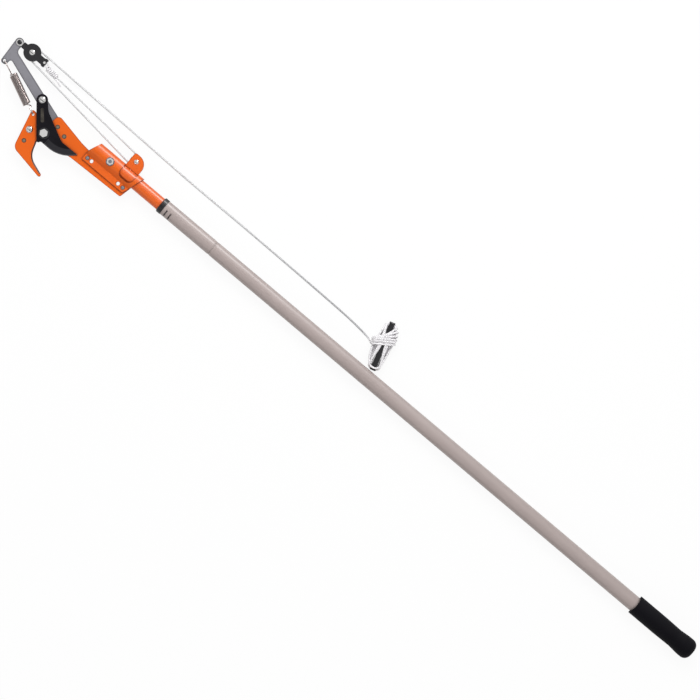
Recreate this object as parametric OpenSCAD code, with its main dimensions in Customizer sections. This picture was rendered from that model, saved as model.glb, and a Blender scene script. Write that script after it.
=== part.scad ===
// Tree pruner pole: a telescopic pole with a rope-driven bypass pruner head.
// The pole lies along X with its butt at the origin and the head at +X.
// Y points to the hook side, Z up through the flat of the head, and the pole axis is at Y = Z = 0.

/* [Pole] */
// Outside diameter of the outer tube
pole_d = 28; // [26:0.5:32]
// Wall of the outer tube
pole_wall = 1; // [0.8:0.1:1.4]
// Length of the outer tube
pole_len = 1202; // [900:1:1500]
// Distance from the tube's mouth to its rolled crimp
crimp_back = 110; // [95:1:125]
// Depth of the rolled crimp
crimp_depth = 0.5; // [0.2:0.1:0.5]
// Diameter of the guide collar's flange
collar_d = 29.2; // [28.6:0.2:34]
// Length of the guide collar's flange
collar_len = 9; // [5:0.5:14]
// Length of the guide sleeve inside the outer tube
collar_sleeve = 118; // [114:1:140]
// Outside diameter of the inner tube
inner_d = 24; // [22:0.5:24.4]
// Wall of the inner tube
inner_wall = 1.5; // [1:0.1:2]
// Length of the inner tube
inner_len = 1168; // [1000:1:1185]
// Inner tube that shows between collar and bracket
tube_show = 50; // [40:1:120]

/* [Grip] */
// Length of the rubber grip
grip_len = 132; // [100:1:180]
// Diameter of the grip's barrel
grip_d = 36; // [34:0.5:40]
// Diameter of the flare near the butt
grip_flare_d = 37.8; // [37.2:0.2:44]
// Diameter of the waist ahead of the flare
grip_waist_d = 34.5; // [33:0.5:36]
// Rubber behind the tube's end
grip_butt = 6; // [4:0.5:10]
// Depth of the curve across the grip's mouth
grip_hollow = 3.2; // [1:0.2:5]
// Radius of the rounded butt
grip_round = 13; // [8:0.5:15]

/* [Twist lock] */
// Length of the expanding ring
lock_len = 18; // [12:1:26]
// Offset of the cam spindle from the pole axis
lock_cam = 0.6; // [0.3:0.1:0.8]
// Radius of the cam spindle
lock_spindle_r = 8; // [6:0.5:8.5]
// Depth of the plug inside the inner tube
lock_plug = 28; // [20:1:40]

/* [Head bracket] */
// Sheet thickness of the bracket
sheet = 2.5; // [2:0.1:3]
// Reach of the flanges below the pole axis
flange_reach = 28.5; // [26:0.5:34]
// Angle at which the wrapped sheet leaves the tube
wrap_angle = 40; // [34:1:46]
// Spacing of the two saw holes
saw_spacing = 60.5; // [54:0.5:64]
// Diameter of the saw holes
saw_hole_d = 6.6; // [5:0.1:7]
// Distance of saw holes and rivets below the pole axis
flange_row = 20.7; // [20:0.1:22]
// Height of the pulley ear above the pole axis
ear_top = 41; // [40:0.5:44]

/* [Hook and blade] */
// Thickness of each of the two hook plates
plate_t = 3; // [2.5:0.1:3.5]
// Thickness of the blade
blade_t = 4.5; // [3.5:0.1:6]
// Width of the ground bevel
bevel_w = 12; // [8:0.5:15]
// Thickness left at the cutting edge
edge_t = 0.5; // [0.3:0.1:1]
// Thickness of the lever arm
arm_t = 4.5; // [3.5:0.1:6]
// Diameter of the pivot bolt
pivot_d = 10; // [8:0.5:11]

/* [Pulleys and rope] */
// Diameter of the rope
rope_d = 3; // [2.4:0.1:3.2]
// Rope circle radius on the lower sheave
lower_r = 10.2; // [9:0.1:10.8]
// Rope circle radius on the upper sheave
upper_r = 11.3; // [10:0.1:11.8]
// Width of the sheaves
sheave_w = 7; // [6:0.1:7.2]
// Thickness of each cheek of the block
cheek_t = 2.5; // [2:0.1:3]
// Radius of the block's round body
cheek_r = 15.5; // [14.5:0.1:17]

/* [Return spring] */
// Wire of the return spring
wire_d = 1.5; // [1.2:0.1:1.6]
// Outside diameter of the coil
coil_d = 12; // [10:0.5:13]
// Number of coils
coils = 27; // [20:1:28]
// Length of the coil body
coil_len = 57; // [54:0.5:60]

/* [Cord winder] */
// Length of the winder
winder_len = 91; // [84:1:110]
// Width of the winder
winder_w = 22; // [21:0.5:26]
// Thickness of the winder
winder_t = 10; // [7:0.5:12]
// Depth of the notches at its ends
notch_deep = 10; // [9:0.5:13]
// Rope turns laid side by side in a notch
turns_wide = 3; // [2:1:3]

/* [Hidden] */
$fn = 48;

// Clearances
run_gap = 0.3;
shaft_gap = 0.05;
slide_gap = 0.15;
fit_gap = 0.02;
rivet_gap = 0.05;
cord_gap = 0.45;
end_gap = 0.15;

// Radii and stations along the pole
pole_r = pole_d / 2;
pole_bore = pole_r - pole_wall;
inner_r = inner_d / 2;
inner_bore = inner_r - inner_wall;
pole_end = grip_butt + pole_len;
crimp_x = pole_end - crimp_back;
crimp_floor = 0.8;
crimp_half = 2.2;
bracket_back = 65;
bracket_front = 42;
head_x = pole_end + collar_len + tube_show + bracket_back;
tube_front = 29;
inner_x0 = head_x + tube_front - inner_len;
floor_z = -grip_flare_d / 2;

// Layers of the head, up and down from the pole axis
plates_z = plate_t;
flange_z = plates_z + sheet;
blade_z0 = plates_z + run_gap;
blade_z1 = blade_z0 + blade_t;
arm_z1 = -plates_z - run_gap;
arm_z0 = arm_z1 - arm_t;
rope_z = -5.55;
sleeve_r = inner_r + 0.2 + sheet;

// Places on the head, from the bracket bolt: X towards the hook's end, Y towards the hook
pivot = [121, 37];
tang_top = [161, -6];
tang_r = 10;
lower_axle = [-34.5, -28.5];
upper_axle = [228.5, -58];
link_hole = [257, -57.5];
arm_spring_hole = [257, -16];
plate_spring_hole = [157, 24];
becket_at = [200.5, -58];
stud_at = [145.2, 48.1];
hook_rivet_at = [[110, 13], [90.5, 18.5], [140, 69]];
saw_mid = -4.2;
saw_holes_at = [[saw_mid + saw_spacing / 2, flange_row], [saw_mid - saw_spacing / 2, flange_row]];
flange_rivets_at = [[35, flange_row], [-45.5, flange_row]];

// Sizes of fasteners
bracket_bolt_r = 3;
bracket_head_r = 6.5;
bracket_head_h = 3.5;
bracket_nut_h = 3;
saddle_r = 7.5;
saddle_h = 0.5;
flange_rivet_r = 2.5;
flange_rivet_head = 3.9;
hook_rivet_r = 2.5;
hook_rivet_head = 4;
hook_rivet_sink = 1.4;
stud_r = 3.5;
stud_head_r = 6.5;
stud_head_h = 3.4;
stud_tail_r = 5.5;
stud_tail_h = 1.6;
stud_slot = 1.8;
stud_slot_deep = 1.4;
stud_slot_turn = 35;
pivot_r = pivot_d / 2;
pivot_hex_r = 7.6;
pivot_head_h = 5.5;
pivot_nut_h = 5;
pivot_washer_r = 10;
pivot_washer_t = 1.2;
pivot_tail = 1.2;
tang_screw_r = 3;
tang_head_r = 6.5;
tang_head_h = 3.2;
tang_nut_r = 5.8;
tang_nut_h = 4.5;
spacer_r = 6.5;
axle_r = 3;
axle_head_r = 4.6;
axle_head_h = 2.4;
axle_tail_r = 5.5;
axle_tail_h = 1.2;
link_r = 2.8;
link_head_r = 4.3;
link_head_h = 1.6;
block_axle_head_r = 5;
block_axle_head_h = 2;
pin_r = 2.2;
neck_pin_r = 1.5;
neck_spacer_r = 2.4;
eye_t = 1.2;
eye_r = 6;
eye_tab_w = 8;
lock_pin_r = 1.5;

// Outlines of the head's plates: each corner is X, Y and its radius
hook_outline = [
  [164.5, 17, 4], [146.5, 90, 14], [77, 102, 3], [78.8, 95.6, 2.4], [112.8, 83.6, 28],
  [124, 50.2, 5], [59, 39.5, 20], [-51.5, 36, 3], [-56.5, 13.2, 2],
  [33, inner_r + 0.6, 2], [38, 9.4, 3], [60, 7.2, 40], [121.5, -4.6, 8], [125, 20, 6]
];
throat_corner = 4;
bracket_outline = [
  [31, -sleeve_r - 3, 0], [bracket_front, 10.5, 6], [bracket_front + 0.5, flange_reach, 2],
  [-50.5, flange_reach, 2], [-56.5, 12, 4], [-bracket_back - 0.8, -sleeve_r - 3, 0]
];
ear_left = -23;
ear_right = -52;
ear_outline = [
  [ear_left, -inner_r - 1, 0], [ear_left, -ear_top, 4],
  [ear_right, -ear_top, 19], [ear_right, -inner_r - 1, 0]
];
window_outline = [
  [ear_left, -sleeve_r - 1, 0], [ear_left, 8.5, 9], [ear_right, 8.5, 9], [ear_right, -sleeve_r - 1, 0]
];
tang_dir = unit([-47, 55]);
tang_side = [tang_dir[1], -tang_dir[0]];
bevel_centre = [99, -6];
bevel_r = 58;
bevel_start = 109;
blade_tip = 52;
heel = [119.5, 59];
arm_outline = [
  [265.6, -65.3, 7.4], [249.6, -65, 7.2], [250.5, -42.1, 8], [110, 2.9, 10],
  [pivot[0] - 13.3, pivot[1] + 13.3, 13], [pivot[0] + 13.3, pivot[1] + 13.3, 13],
  [150, 9.3, 15], [249.8, -25, 4], [250.8, -10.4, 5], [262.3, -10.4, 5]
];

// Small vector helpers
function unit(v) = v / norm(v);
function angle_of(v) = atan2(v[1], v[0]);
function turn_to(a, b) = (b - a) - 360 * round((b - a) / 360);
function flat(v) = [v[0], v[1]];

// Outline with each corner rounded by its own radius, as short chords of a true arc
function arc_points(c, r, a0, a1) =
  let (n = max(1, ceil(abs(a1 - a0) / 9)))
  [for (i = [0:n]) c + r * [cos(a0 + (a1 - a0) * i / n), sin(a0 + (a1 - a0) * i / n)]];
function corner_half(a, b, c) = acos(unit(a - b) * unit(c - b)) / 2;
function corner_centre(a, b, c, r) =
  b + unit(unit(a - b) + unit(c - b)) * r / sin(corner_half(a, b, c));
function corner(a, b, c, r) =
  r == 0 ? [b] :
  let (t = r / tan(corner_half(a, b, c)), m = corner_centre(a, b, c, r))
  let (a0 = angle_of(b + unit(a - b) * t - m), a1 = angle_of(b + unit(c - b) * t - m))
  arc_points(m, r, a0, a0 + turn_to(a0, a1));
function rounded(o) =
  let (n = len(o))
  [for (i = [0:n - 1]) each corner(flat(o[(i + n - 1) % n]), flat(o[i]), flat(o[(i + 1) % n]), o[i][2])];

// Blade outline: round tang end, straight tang, heel, circular cutting edge and hollow back
function bevel_angle(x) = acos((x - bevel_centre[0]) / bevel_r);
tip_angle = bevel_angle(blade_tip);
belly_angle = bevel_angle(104);
blade_back = [[88, 28.6, 25], [141, 2, 40]];
tang_end = [for (s = [1, -1]) tang_top + s * tang_r * tang_side - tang_r * tang_dir];
blade_points = concat(
  corner(tang_end[1], tang_end[0], heel, tang_r * 0.99),
  corner(tang_end[0], heel, [116.5, 51.4], 3), corner(heel, [116.5, 51.4], [104, 51.8], 4),
  arc_points(bevel_centre, bevel_r, belly_angle, tip_angle),
  corner([blade_tip, 28], flat(blade_back[0]), flat(blade_back[1]), blade_back[0][2]),
  corner(flat(blade_back[0]), flat(blade_back[1]), tang_end[1], blade_back[1][2]),
  corner(flat(blade_back[1]), tang_end[1], tang_end[0], tang_r * 0.99)
);

// Rope route round the pulleys
fall_dir = unit(upper_axle - lower_axle);
fall_side = [-fall_dir[1], fall_dir[0]];
fall_slant = (upper_r - lower_r) / norm(upper_axle - lower_axle);
fall_out = sqrt(1 - fall_slant * fall_slant) * fall_side - fall_slant * fall_dir;
return_low = lower_axle + lower_r * fall_out;
return_high = upper_axle + upper_r * fall_out;
lead_out = unit([-0.012, -1]);
lead_start = upper_axle + upper_r * lead_out;
becket_r = pin_r + rope_d / 2 + 0.1;
becket_start = becket_at + [0, becket_r];
becket_dir = unit(becket_start - lower_axle);
becket_cos = lower_r / norm(becket_start - lower_axle);
becket_out = becket_cos * becket_dir
  - sqrt(1 - becket_cos * becket_cos) * [-becket_dir[1], becket_dir[0]];
becket_low = lower_axle + lower_r * becket_out;
standing = unit(becket_low - becket_start);
standing_side = [-standing[1], standing[0]];

// Sweep of a tube along points, with the ring carried along without twist
function tangents(p) =
  let (e = len(p) - 1)
  [for (i = [0:e]) unit(p[min(i + 1, e)] - p[max(i - 1, 0)])];
function carried(t, n) = unit(n - (n * t) * t);
function normals(t, n0) =
  [for (i = 0, n = carried(t[0], n0); i < len(t); i = i + 1, n = i < len(t) ? carried(t[i], n) : n) n];
module tube(p, d, sides, up) {
  t = tangents(p);
  n = normals(t, up);
  e = len(p) - 1;
  points = [
    for (i = [0:e], k = [0:sides - 1])
      p[i] + d / 2 * (cos(360 * k / sides) * n[i] + sin(360 * k / sides) * cross(t[i], n[i]))
  ];
  walls = [
    for (i = [0:e - 1], k = [0:sides - 1], h = [0, 1])
      let (a = i * sides + k, b = i * sides + (k + 1) % sides)
      h == 0 ? [a, a + sides, b] : [b, a + sides, b + sides]
  ];
  caps = [
    for (k = [1:sides - 2], h = [0, 1])
      h == 0 ? [0, k, k + 1] : [e * sides, e * sides + k + 1, e * sides + k]
  ];
  polyhedron(points, concat(walls, caps), convexity = 10);
}
// Least free gap between stretches of a wound tube that lie more than skip points apart
function self_gap(p, d, skip) =
  min([for (i = [0:len(p) - 1 - skip], j = [i + skip:1:len(p) - 1]) norm(p[i] - p[j])]) - d;
function smooth(p, steps) = [
  for (i = [0:len(p) - 2], k = [0:steps - 1])
    let (a = p[max(i - 1, 0)], b = p[i], c = p[i + 1], d = p[min(i + 2, len(p) - 1)], t = k / steps)
    0.5 * (2 * b + (c - a) * t + (2 * a - 5 * b + 4 * c - d) * t * t + (3 * b - a - 3 * c + d) * t * t * t),
  p[len(p) - 1]
];
function ease(t) = let (s = min(1, max(0, t))) s * s * (3 - 2 * s);
function in_z(v, z) = [v[0], v[1], z];

// Return spring: places along the line from the plate hole to the arm hole
spring_line = unit(arm_spring_hole - plate_spring_hole);
spring_side = [-spring_line[1], spring_line[0]];
spring_reach = norm(arm_spring_hole - plate_spring_hole);
plate_hole_r = 2.2;
arm_hole_r = 2.6;
hook_bend = 2;
wire_seat = wire_d / 2 + slide_gap;
coil_r = (coil_d - wire_d) / 2;
coil_start = 21;
coil_end = coil_start + coil_len;
plate_leg = plate_hole_r - wire_seat;
arm_leg = spring_reach - arm_hole_r + wire_seat;
leg_top = plates_z + wire_seat + run_gap;
function spring_at(s, side, z) = in_z(plate_spring_hole + s * spring_line + side * spring_side, z);
function coil_at(s, r, a) = spring_at(s, r * sin(a), r * cos(a));
function hook_arc(s, z, a0, a1) = [
  for (i = [0:4])
    let (a = a0 + (a1 - a0) * i / 4) spring_at(s + hook_bend * cos(a), 0, z + hook_bend * sin(a))
];
tail_out = 2 * wire_d;
spring_path = concat(
  [spring_at(plate_leg, 0, -plates_z - tail_out), spring_at(plate_leg, 0, 0)],
  hook_arc(plate_leg + hook_bend, leg_top - hook_bend, 180, 90),
  [spring_at(10, 0, leg_top), spring_at(13, 0, leg_top * 0.8)],
  [for (i = [1:5]) coil_at(13 + i * 1.4, leg_top * 0.8 + (coil_r - leg_top * 0.8) * ease(i / 5), -90 + i * 18)],
  [for (i = [1:8 * coils]) coil_at(coil_start + coil_len * i / (8 * coils), coil_r, 45 * i)],
  [for (i = [1:4]) coil_at(coil_end + i * 0.9, coil_r * (1 - ease(i / 4)), 45 * i)],
  [spring_at(coil_end + 3.6 + wire_d, 0, 0)]
);
hook_path = concat(
  [spring_at(coil_end + 3.6 + wire_d, 0, 0), spring_at((coil_end + spring_reach) / 2, 0, 0)],
  hook_arc(arm_leg - hook_bend, -hook_bend, 90, 0),
  [spring_at(arm_leg, 0, arm_z1), spring_at(arm_leg, 0, arm_z0 - wire_d)]
);

// Knot on the becket: the rope's end goes round the pin and back along itself in turns
knot_turns = 6;
knot_r = rope_d + cord_gap + 0.5;
knot_start = 10;
knot_step = rope_d + cord_gap + 0.1;
knot_end = knot_start + knot_turns * knot_step;
fall_start = knot_end + 3;
function knot_at(s, r, a) =
  in_z(becket_start + s * standing - r * cos(a) * standing_side, rope_z + r * sin(a));
knot_path = concat(
  [for (s = [fall_start, fall_start - rope_d, fall_start / 2, 3, 0]) knot_at(s, 0, 0)],
  [for (a = [60:-30:-90]) in_z(becket_at + becket_r * [cos(a), sin(a)], rope_z)],
  [for (i = [1:4]) knot_at(knot_start * i / 4, -(2 * becket_r + (knot_r - 2 * becket_r) * ease(i / 4)), 0)],
  [for (i = [1:12 * knot_turns + 6]) knot_at(knot_start + knot_step * i / 12, -knot_r, 30 * i)],
  [knot_at(knot_end + 7, knot_r, 0), knot_at(knot_end + 12, knot_r + 1.5, 0), knot_at(knot_end + 17, knot_r + 3, 0)]
);

// Pull rope: from the upper sheave down to the floor and along it to the winder
rope_floor = floor_z + rope_d / 2;
lead_points = [
  in_z(lead_start, rope_z), [212, -69.2, rope_z], [190, -68.7, -6.4], [165, -68.2, -8.6], [135, -67.6, -12.2],
  [105, -67.1, -15.2], [72, -66.5, -17], [35, -65.9, rope_floor], [-10, -65.1, rope_floor],
  [-60, -64, rope_floor], [-115, -62.9, rope_floor], [-175, -62.7, rope_floor], [-240, -63, rope_floor],
  [-310, -62.6, rope_floor], [-380, -62, rope_floor], [-445, -61.2, rope_floor], [-495, -60, rope_floor],
  [-528, -57.6, rope_floor]
];

lead_smooth = smooth(lead_points, 4);
lead_last = len(lead_smooth) - 1;
lead_path = [
  for (i = [0:lead_last])
    i == 0 ? lead_smooth[0] + end_gap * unit(lead_smooth[1] - lead_smooth[0]) :
    i == lead_last ? lead_smooth[i] + end_gap * unit(lead_smooth[i - 1] - lead_smooth[i]) : lead_smooth[i]
];

// Winder and the rope wound on it
winder_mid = [-571.9, -60.4];
winder_dir = unit([26.4, -87]);
winder_side = [-winder_dir[1], winder_dir[0]];
winder_z = floor_z + winder_w / 2;
wind_step = rope_d + cord_gap + 0.05;
wind_layers = 2;
wind_turns = turns_wide * wind_layers;
run_half = winder_len / 2 - notch_deep + 0.3;
notch_w = turns_wide * wind_step + 0.8;
end_round = 4.6;
bows = [0.8, 1.8, 2.8, 3, 4.6, 6.1];
bow_skew = 0.6;
back_share = 0.73;
function wind_h(layer) = winder_t / 2 + rope_d / 2 + 0.2 + layer * wind_step;
function winder_at(w, s, z) = in_z(winder_mid + w * winder_dir + s * winder_side, winder_z + z);
function layer_of(turn) = min(wind_layers - 1, floor(turn / turns_wide));
function lane(turn) =
  wind_step * (layer_of(turn) % 2 == 0 ? 1 : -1) * ((turns_wide - 1) / 2 - turn % turns_wide);
function bow(w, skew) = (1 - pow(w / run_half, 2)) * (1 - skew * w / run_half);
// One turn: run up one side, round the top notch, run down the other side, round the bottom notch
function run_up(turn) = [
  for (i = [0:5])
    let (w = run_half * (i / 3 - 1))
    winder_at(w, wind_h(layer_of(turn)) + bows[turn] * bow(w, bow_skew), lane(turn))
];
function end_turn(end, turn) = [
  for (i = [0:5])
    let (a = 180 - 90 * end - 30 * i, layer = layer_of(turn))
    winder_at(end * run_half + (end_round + layer * wind_step) * cos(a), wind_h(layer) * sin(a), lane(turn))
];
// The lower layer changes lane late on the way down, the upper one early, and the turn between climbs in the middle
function lane_share(turn, t) = turn < turns_wide ? ease((t - 0.6) / 0.4) : ease((t - 0.1) / 0.5);
function run_down(turn, count) =
  let (next = min(turn + 1, wind_turns - 1), h0 = wind_h(layer_of(turn)), h1 = wind_h(layer_of(next)))
  [
    for (i = [0:count - 1])
      let (t = i / 6, w = run_half * (1 - 2 * t), b = bows[turn] + (bows[next] - bows[turn]) * ease(2 * t))
      let (h = h0 + (h1 - h0) * ease((t - 0.3) / 0.5))
      winder_at(w, -(h + back_share * b * bow(w, -bow_skew)), lane(turn) + (lane(next) - lane(turn)) * lane_share(turn, t))
  ];
// Cross wrap that ties the turns: a slanting, squarish ring round all of them
wrap_half = 19.2;
wrap_shift = 0.7;
wrap_low = 9.2;
wrap_top = winder_w / 2 + rope_d / 2 + 0.2;
wrap_tilt = 0.3;
wrap_step = 4.4;
wrap_power = 0.55;
wrap_from = 150;
wrap_to = -380;
function squared(x) = sign(x) * pow(abs(x), wrap_power);
function wrap_at(a) =
  let (s = wrap_shift + wrap_half * squared(cos(a)), half = (wrap_top + wrap_low) / 2)
  winder_at(9 - wrap_tilt * s - wrap_step * (wrap_from - a) / 360, s, wrap_top - half + half * squared(sin(a)));
hank_path = concat(
  [for (turn = [0:wind_turns - 2]) each concat(run_up(turn), end_turn(1, turn), run_down(turn, 6), end_turn(-1, turn + 1))],
  run_up(wind_turns - 1),
  end_turn(1, wind_turns - 1),
  run_down(wind_turns - 1, 2),
  [for (a = [wrap_from:-10:wrap_to]) wrap_at(a)],
  [winder_at(-2.6, 20.9, -7), winder_at(0.2, 24.2, -9.2), winder_at(4.2, 30, -winder_w / 2 + rope_d / 2), [-528, -57.6, rope_floor]]
);

echo(spring_gap = self_gap(spring_path, wire_d, 5));
echo(knot_gap = self_gap(knot_path, rope_d, 9));
echo(hank_gap = self_gap(hank_path, rope_d, 5));

// Shared shapes
module along_x() {
  rotate([0, 90, 0]) children();
}
module on_head() {
  translate([head_x, 0, 0]) children();
}
module at(v, z) {
  translate([v[0], v[1], z]) children();
}
module plate(points, z0, z1) {
  translate([0, 0, z0]) linear_extrude(z1 - z0) polygon(points);
}
module post(v, r, z0, z1) {
  at(v, z0) cylinder(r = r, h = z1 - z0);
}
module hex(v, r, z0, z1) {
  at(v, z0) cylinder(r = r, h = z1 - z0, $fn = 6);
}
// Round head: a cap of a sphere with base radius r and height h, standing on z, dir up or down
module dome(v, r, h, z, dir) {
  ball = (r * r + h * h) / (2 * h);
  at(v, z) mirror([0, 0, dir > 0 ? 0 : 1])
    rotate_extrude() polygon(concat([[0, 0]], [for (i = [0:8]) let (a = asin(r / ball) * (1 - i / 8))
      [ball * sin(a), ball * cos(a) - ball + h]]));
}
module ring(v, r, bore, z0, z1) {
  difference() {
    post(v, r, z0, z1);
    post(v, bore, z0 - 1, z1 + 1);
  }
}
// Grooved wheel: the rope lies in a round groove at rope_r, with rims above it
module sheave(v, rope_r, rim) {
  groove = rope_d / 2 + run_gap;
  at(v, rope_z) difference() {
    translate([0, 0, -sheave_w / 2]) cylinder(r = rim, h = sheave_w);
    rotate_extrude() {
      translate([rope_r, 0]) circle(groove);
      polygon([
        [rope_r + groove * 0.3, -groove * 0.95], [rim + 1, -groove * 1.6],
        [rim + 1, groove * 1.6], [rope_r + groove * 0.3, groove * 0.95]
      ]);
    }
    translate([0, 0, -sheave_w]) cylinder(r = axle_r + shaft_gap, h = 2 * sheave_w);
  }
}
module rope_turn(v, r, a0, a1) {
  at(v, rope_z) rotate([0, 0, a0]) rotate_extrude(angle = a1 - a0) translate([r, 0]) circle(rope_d / 2);
}
module straight_rope(a, b) {
  at(a, rope_z) rotate([0, 90, angle_of(b - a)]) cylinder(d = rope_d, h = norm(b - a));
}

// Pole
module outer_pole() {
  mid = crimp_x - grip_butt;
  color("darkgray") translate([grip_butt, 0, 0]) along_x() rotate_extrude() polygon([
    [pole_bore, 0], [pole_r, 0],
    [pole_r, mid - crimp_half], [pole_r - crimp_depth, mid - crimp_floor], [pole_r - crimp_depth, mid + crimp_floor], [pole_r, mid + crimp_half],
    [pole_r, pole_len], [pole_bore, pole_len],
    [pole_bore, mid + crimp_half], [pole_bore - crimp_depth, mid + crimp_floor], [pole_bore - crimp_depth, mid - crimp_floor], [pole_bore, mid - crimp_half]
  ]);
}
module guide_collar() {
  out = pole_bore - fit_gap;
  mid = crimp_x - pole_end;
  groove = out - crimp_depth;
  bore = inner_r + slide_gap;
  edge = 1.2;
  color("black") translate([pole_end, 0, 0]) along_x() rotate_extrude() polygon([
    [bore, -collar_sleeve], [out, -collar_sleeve],
    [out, mid - crimp_half - slide_gap], [groove, mid - crimp_floor - slide_gap], [groove, mid + crimp_floor + slide_gap], [out, mid + crimp_half + slide_gap],
    [out, 0], [collar_d / 2, 0], [collar_d / 2, collar_len - edge], [collar_d / 2 - edge, collar_len],
    [bore, collar_len]
  ]);
}
module rubber_grip() {
  flare_x = 22;
  waist_x = 40;
  barrel_x = 74;
  outline = [
    [0, 0, 0], [grip_flare_d / 2, 0, grip_round], [grip_flare_d / 2, flare_x, 8], [grip_waist_d / 2, waist_x, 14],
    [grip_d / 2, barrel_x, 30], [grip_d / 2, grip_len, 1.5], [pole_r + fit_gap, grip_len, 0.8],
    [pole_r + fit_gap, grip_butt, 0], [0, grip_butt, 0]
  ];
  hollow_r = (grip_d * grip_d / 4 + grip_hollow * grip_hollow) / (2 * grip_hollow);
  color("black") difference() {
    along_x() rotate_extrude() polygon(rounded(outline));
    post([grip_len - grip_hollow + hollow_r, 0], hollow_r, -grip_d, grip_d);
  }
}

// Twist lock inside the pole: a cam spindle on the inner tube and an expanding ring on it
lock_flange = 4;
lock_stop = 3;
lock_rim = inner_r - 0.1;
ring_x1 = inner_x0 - lock_flange - slide_gap;
ring_x0 = ring_x1 - lock_len;
module lock_ring() {
  slit = 2;
  bore = lock_spindle_r + lock_cam + 0.2;
  color("ivory") difference() {
    translate([ring_x0, 0, 0]) along_x() cylinder(r = pole_bore - 0.05, h = lock_len);
    translate([ring_x0 - 1, 0, 0]) along_x() cylinder(r = bore, h = lock_len + 2);
    translate([ring_x0 - 1, -slit / 2, 0]) cube([lock_len + 2, slit, pole_bore + 1]);
  }
}
module lock_core() {
  color("white") difference() {
    union() {
      translate([inner_x0, 0, 0]) along_x() cylinder(r = inner_bore - 0.06, h = lock_plug);
      translate([inner_x0 - lock_flange, 0, 0]) along_x() cylinder(r = lock_rim, h = lock_flange);
      translate([ring_x0 - slide_gap, 0, lock_cam]) along_x() cylinder(r = lock_spindle_r, h = lock_len + 2 * slide_gap + 1);
      translate([ring_x0 - slide_gap - lock_stop, 0, 0]) along_x() cylinder(r = lock_rim, h = lock_stop);
    }
    translate([inner_x0 + lock_plug / 2, 0, -inner_d]) cylinder(r = lock_pin_r + fit_gap, h = 2 * inner_d);
  }
}
module lock_pin() {
  color("silver") translate([inner_x0 + lock_plug / 2, 0, -inner_r + 0.3]) cylinder(r = lock_pin_r, h = inner_d - 0.6);
}
module inner_pole() {
  color("orangered") difference() {
    translate([inner_x0, 0, 0]) along_x() difference() {
      cylinder(r = inner_r, h = inner_len);
      translate([0, 0, -1]) cylinder(r = inner_bore, h = inner_len + 2);
    }
    translate([inner_x0 + lock_plug / 2, 0, -inner_d]) cylinder(r = lock_pin_r + fit_gap, h = 2 * inner_d);
    translate([head_x, 0, -inner_d]) cylinder(r = bracket_bolt_r + slide_gap, h = 2 * inner_d);
  }
}

// Bracket: one sheet wrapped round the tube, pinched to two flanges, with an ear lanced out of it
function wrap_end(r, z) = -r * sin(wrap_angle) - (r * cos(wrap_angle) - z) / tan(wrap_angle);
module wrap_section(r, z, reach) {
  low = -wrap_end(r, z);
  circle(r);
  polygon([
    [-r * cos(wrap_angle), r * sin(wrap_angle)], [0, -r / 2], [r * cos(wrap_angle), r * sin(wrap_angle)],
    [z, low], [z, reach], [-z, reach], [-z, low]
  ]);
}
module bracket_sheet() {
  long = 2 * bracket_back;
  intersection() {
    translate([-long / 2, 0, 0]) rotate([0, 90, 0]) rotate([0, 0, 0]) linear_extrude(long) difference() {
      wrap_section(sleeve_r, flange_z, flange_reach + 3);
      wrap_section(sleeve_r - sheet, plates_z + fit_gap, flange_reach + 6);
    }
    plate(rounded(bracket_outline), -2 * sleeve_r, 2 * sleeve_r);
  }
}
module socket_bracket() {
  color("orangered") on_head() difference() {
    union() {
      difference() {
        bracket_sheet();
        plate(rounded(window_outline), sheet / 2, 2 * sleeve_r);
      }
      difference() {
        plate(rounded(ear_outline), -sheet / 2, sheet / 2);
        translate([-bracket_back, 0, 0]) along_x() cylinder(r = sleeve_r - sheet, h = 2 * bracket_back);
      }
    }
    post([0, 0], bracket_bolt_r + slide_gap, -2 * sleeve_r, 2 * sleeve_r);
    post(lower_axle, axle_r + fit_gap, -sheet, sheet);
    for (v = saw_holes_at) post(v, saw_hole_d / 2, -sleeve_r, sleeve_r);
    for (v = flange_rivets_at) post(v, flange_rivet_r + fit_gap, -sleeve_r, sleeve_r);
  }
}
nut_z0 = -sleeve_r - saddle_h - bracket_nut_h;
bracket_bolt_out = 0.8;
module bracket_bolt() {
  color("silver") on_head() mirror([0, 0, 1]) {
    hex([0, 0], bracket_head_r, sleeve_r + saddle_h, sleeve_r + saddle_h + bracket_head_h);
    post([0, 0], bracket_bolt_r, nut_z0 - bracket_bolt_out, sleeve_r + saddle_h + 0.5);
  }
}
module bracket_nut() {
  color("silver") on_head() mirror([0, 0, 1]) difference() {
    hex([0, 0], bracket_head_r, nut_z0, -sleeve_r - saddle_h);
    post([0, 0], bracket_bolt_r + fit_gap, nut_z0 - 1, 0);
  }
}
module bracket_washers() {
  color("silver") on_head() for (s = [0, 1]) mirror([0, 0, s]) difference() {
    post([0, 0], saddle_r, sleeve_r - 3, sleeve_r + saddle_h);
    post([0, 0], bracket_bolt_r + slide_gap, 0, 2 * sleeve_r);
    translate([-saddle_r - 1, 0, 0]) along_x() cylinder(r = sleeve_r + fit_gap, h = 2 * saddle_r + 2);
  }
}
module bracket_rivets() {
  color("gray") on_head() for (v = flange_rivets_at) {
    post(v, flange_rivet_r, -flange_z - 0.5, flange_z + 0.5);
    dome(v, flange_rivet_head, 1.8, flange_z, 1);
    dome(v, flange_rivet_head, 1.8, -flange_z, -1);
  }
}

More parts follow.
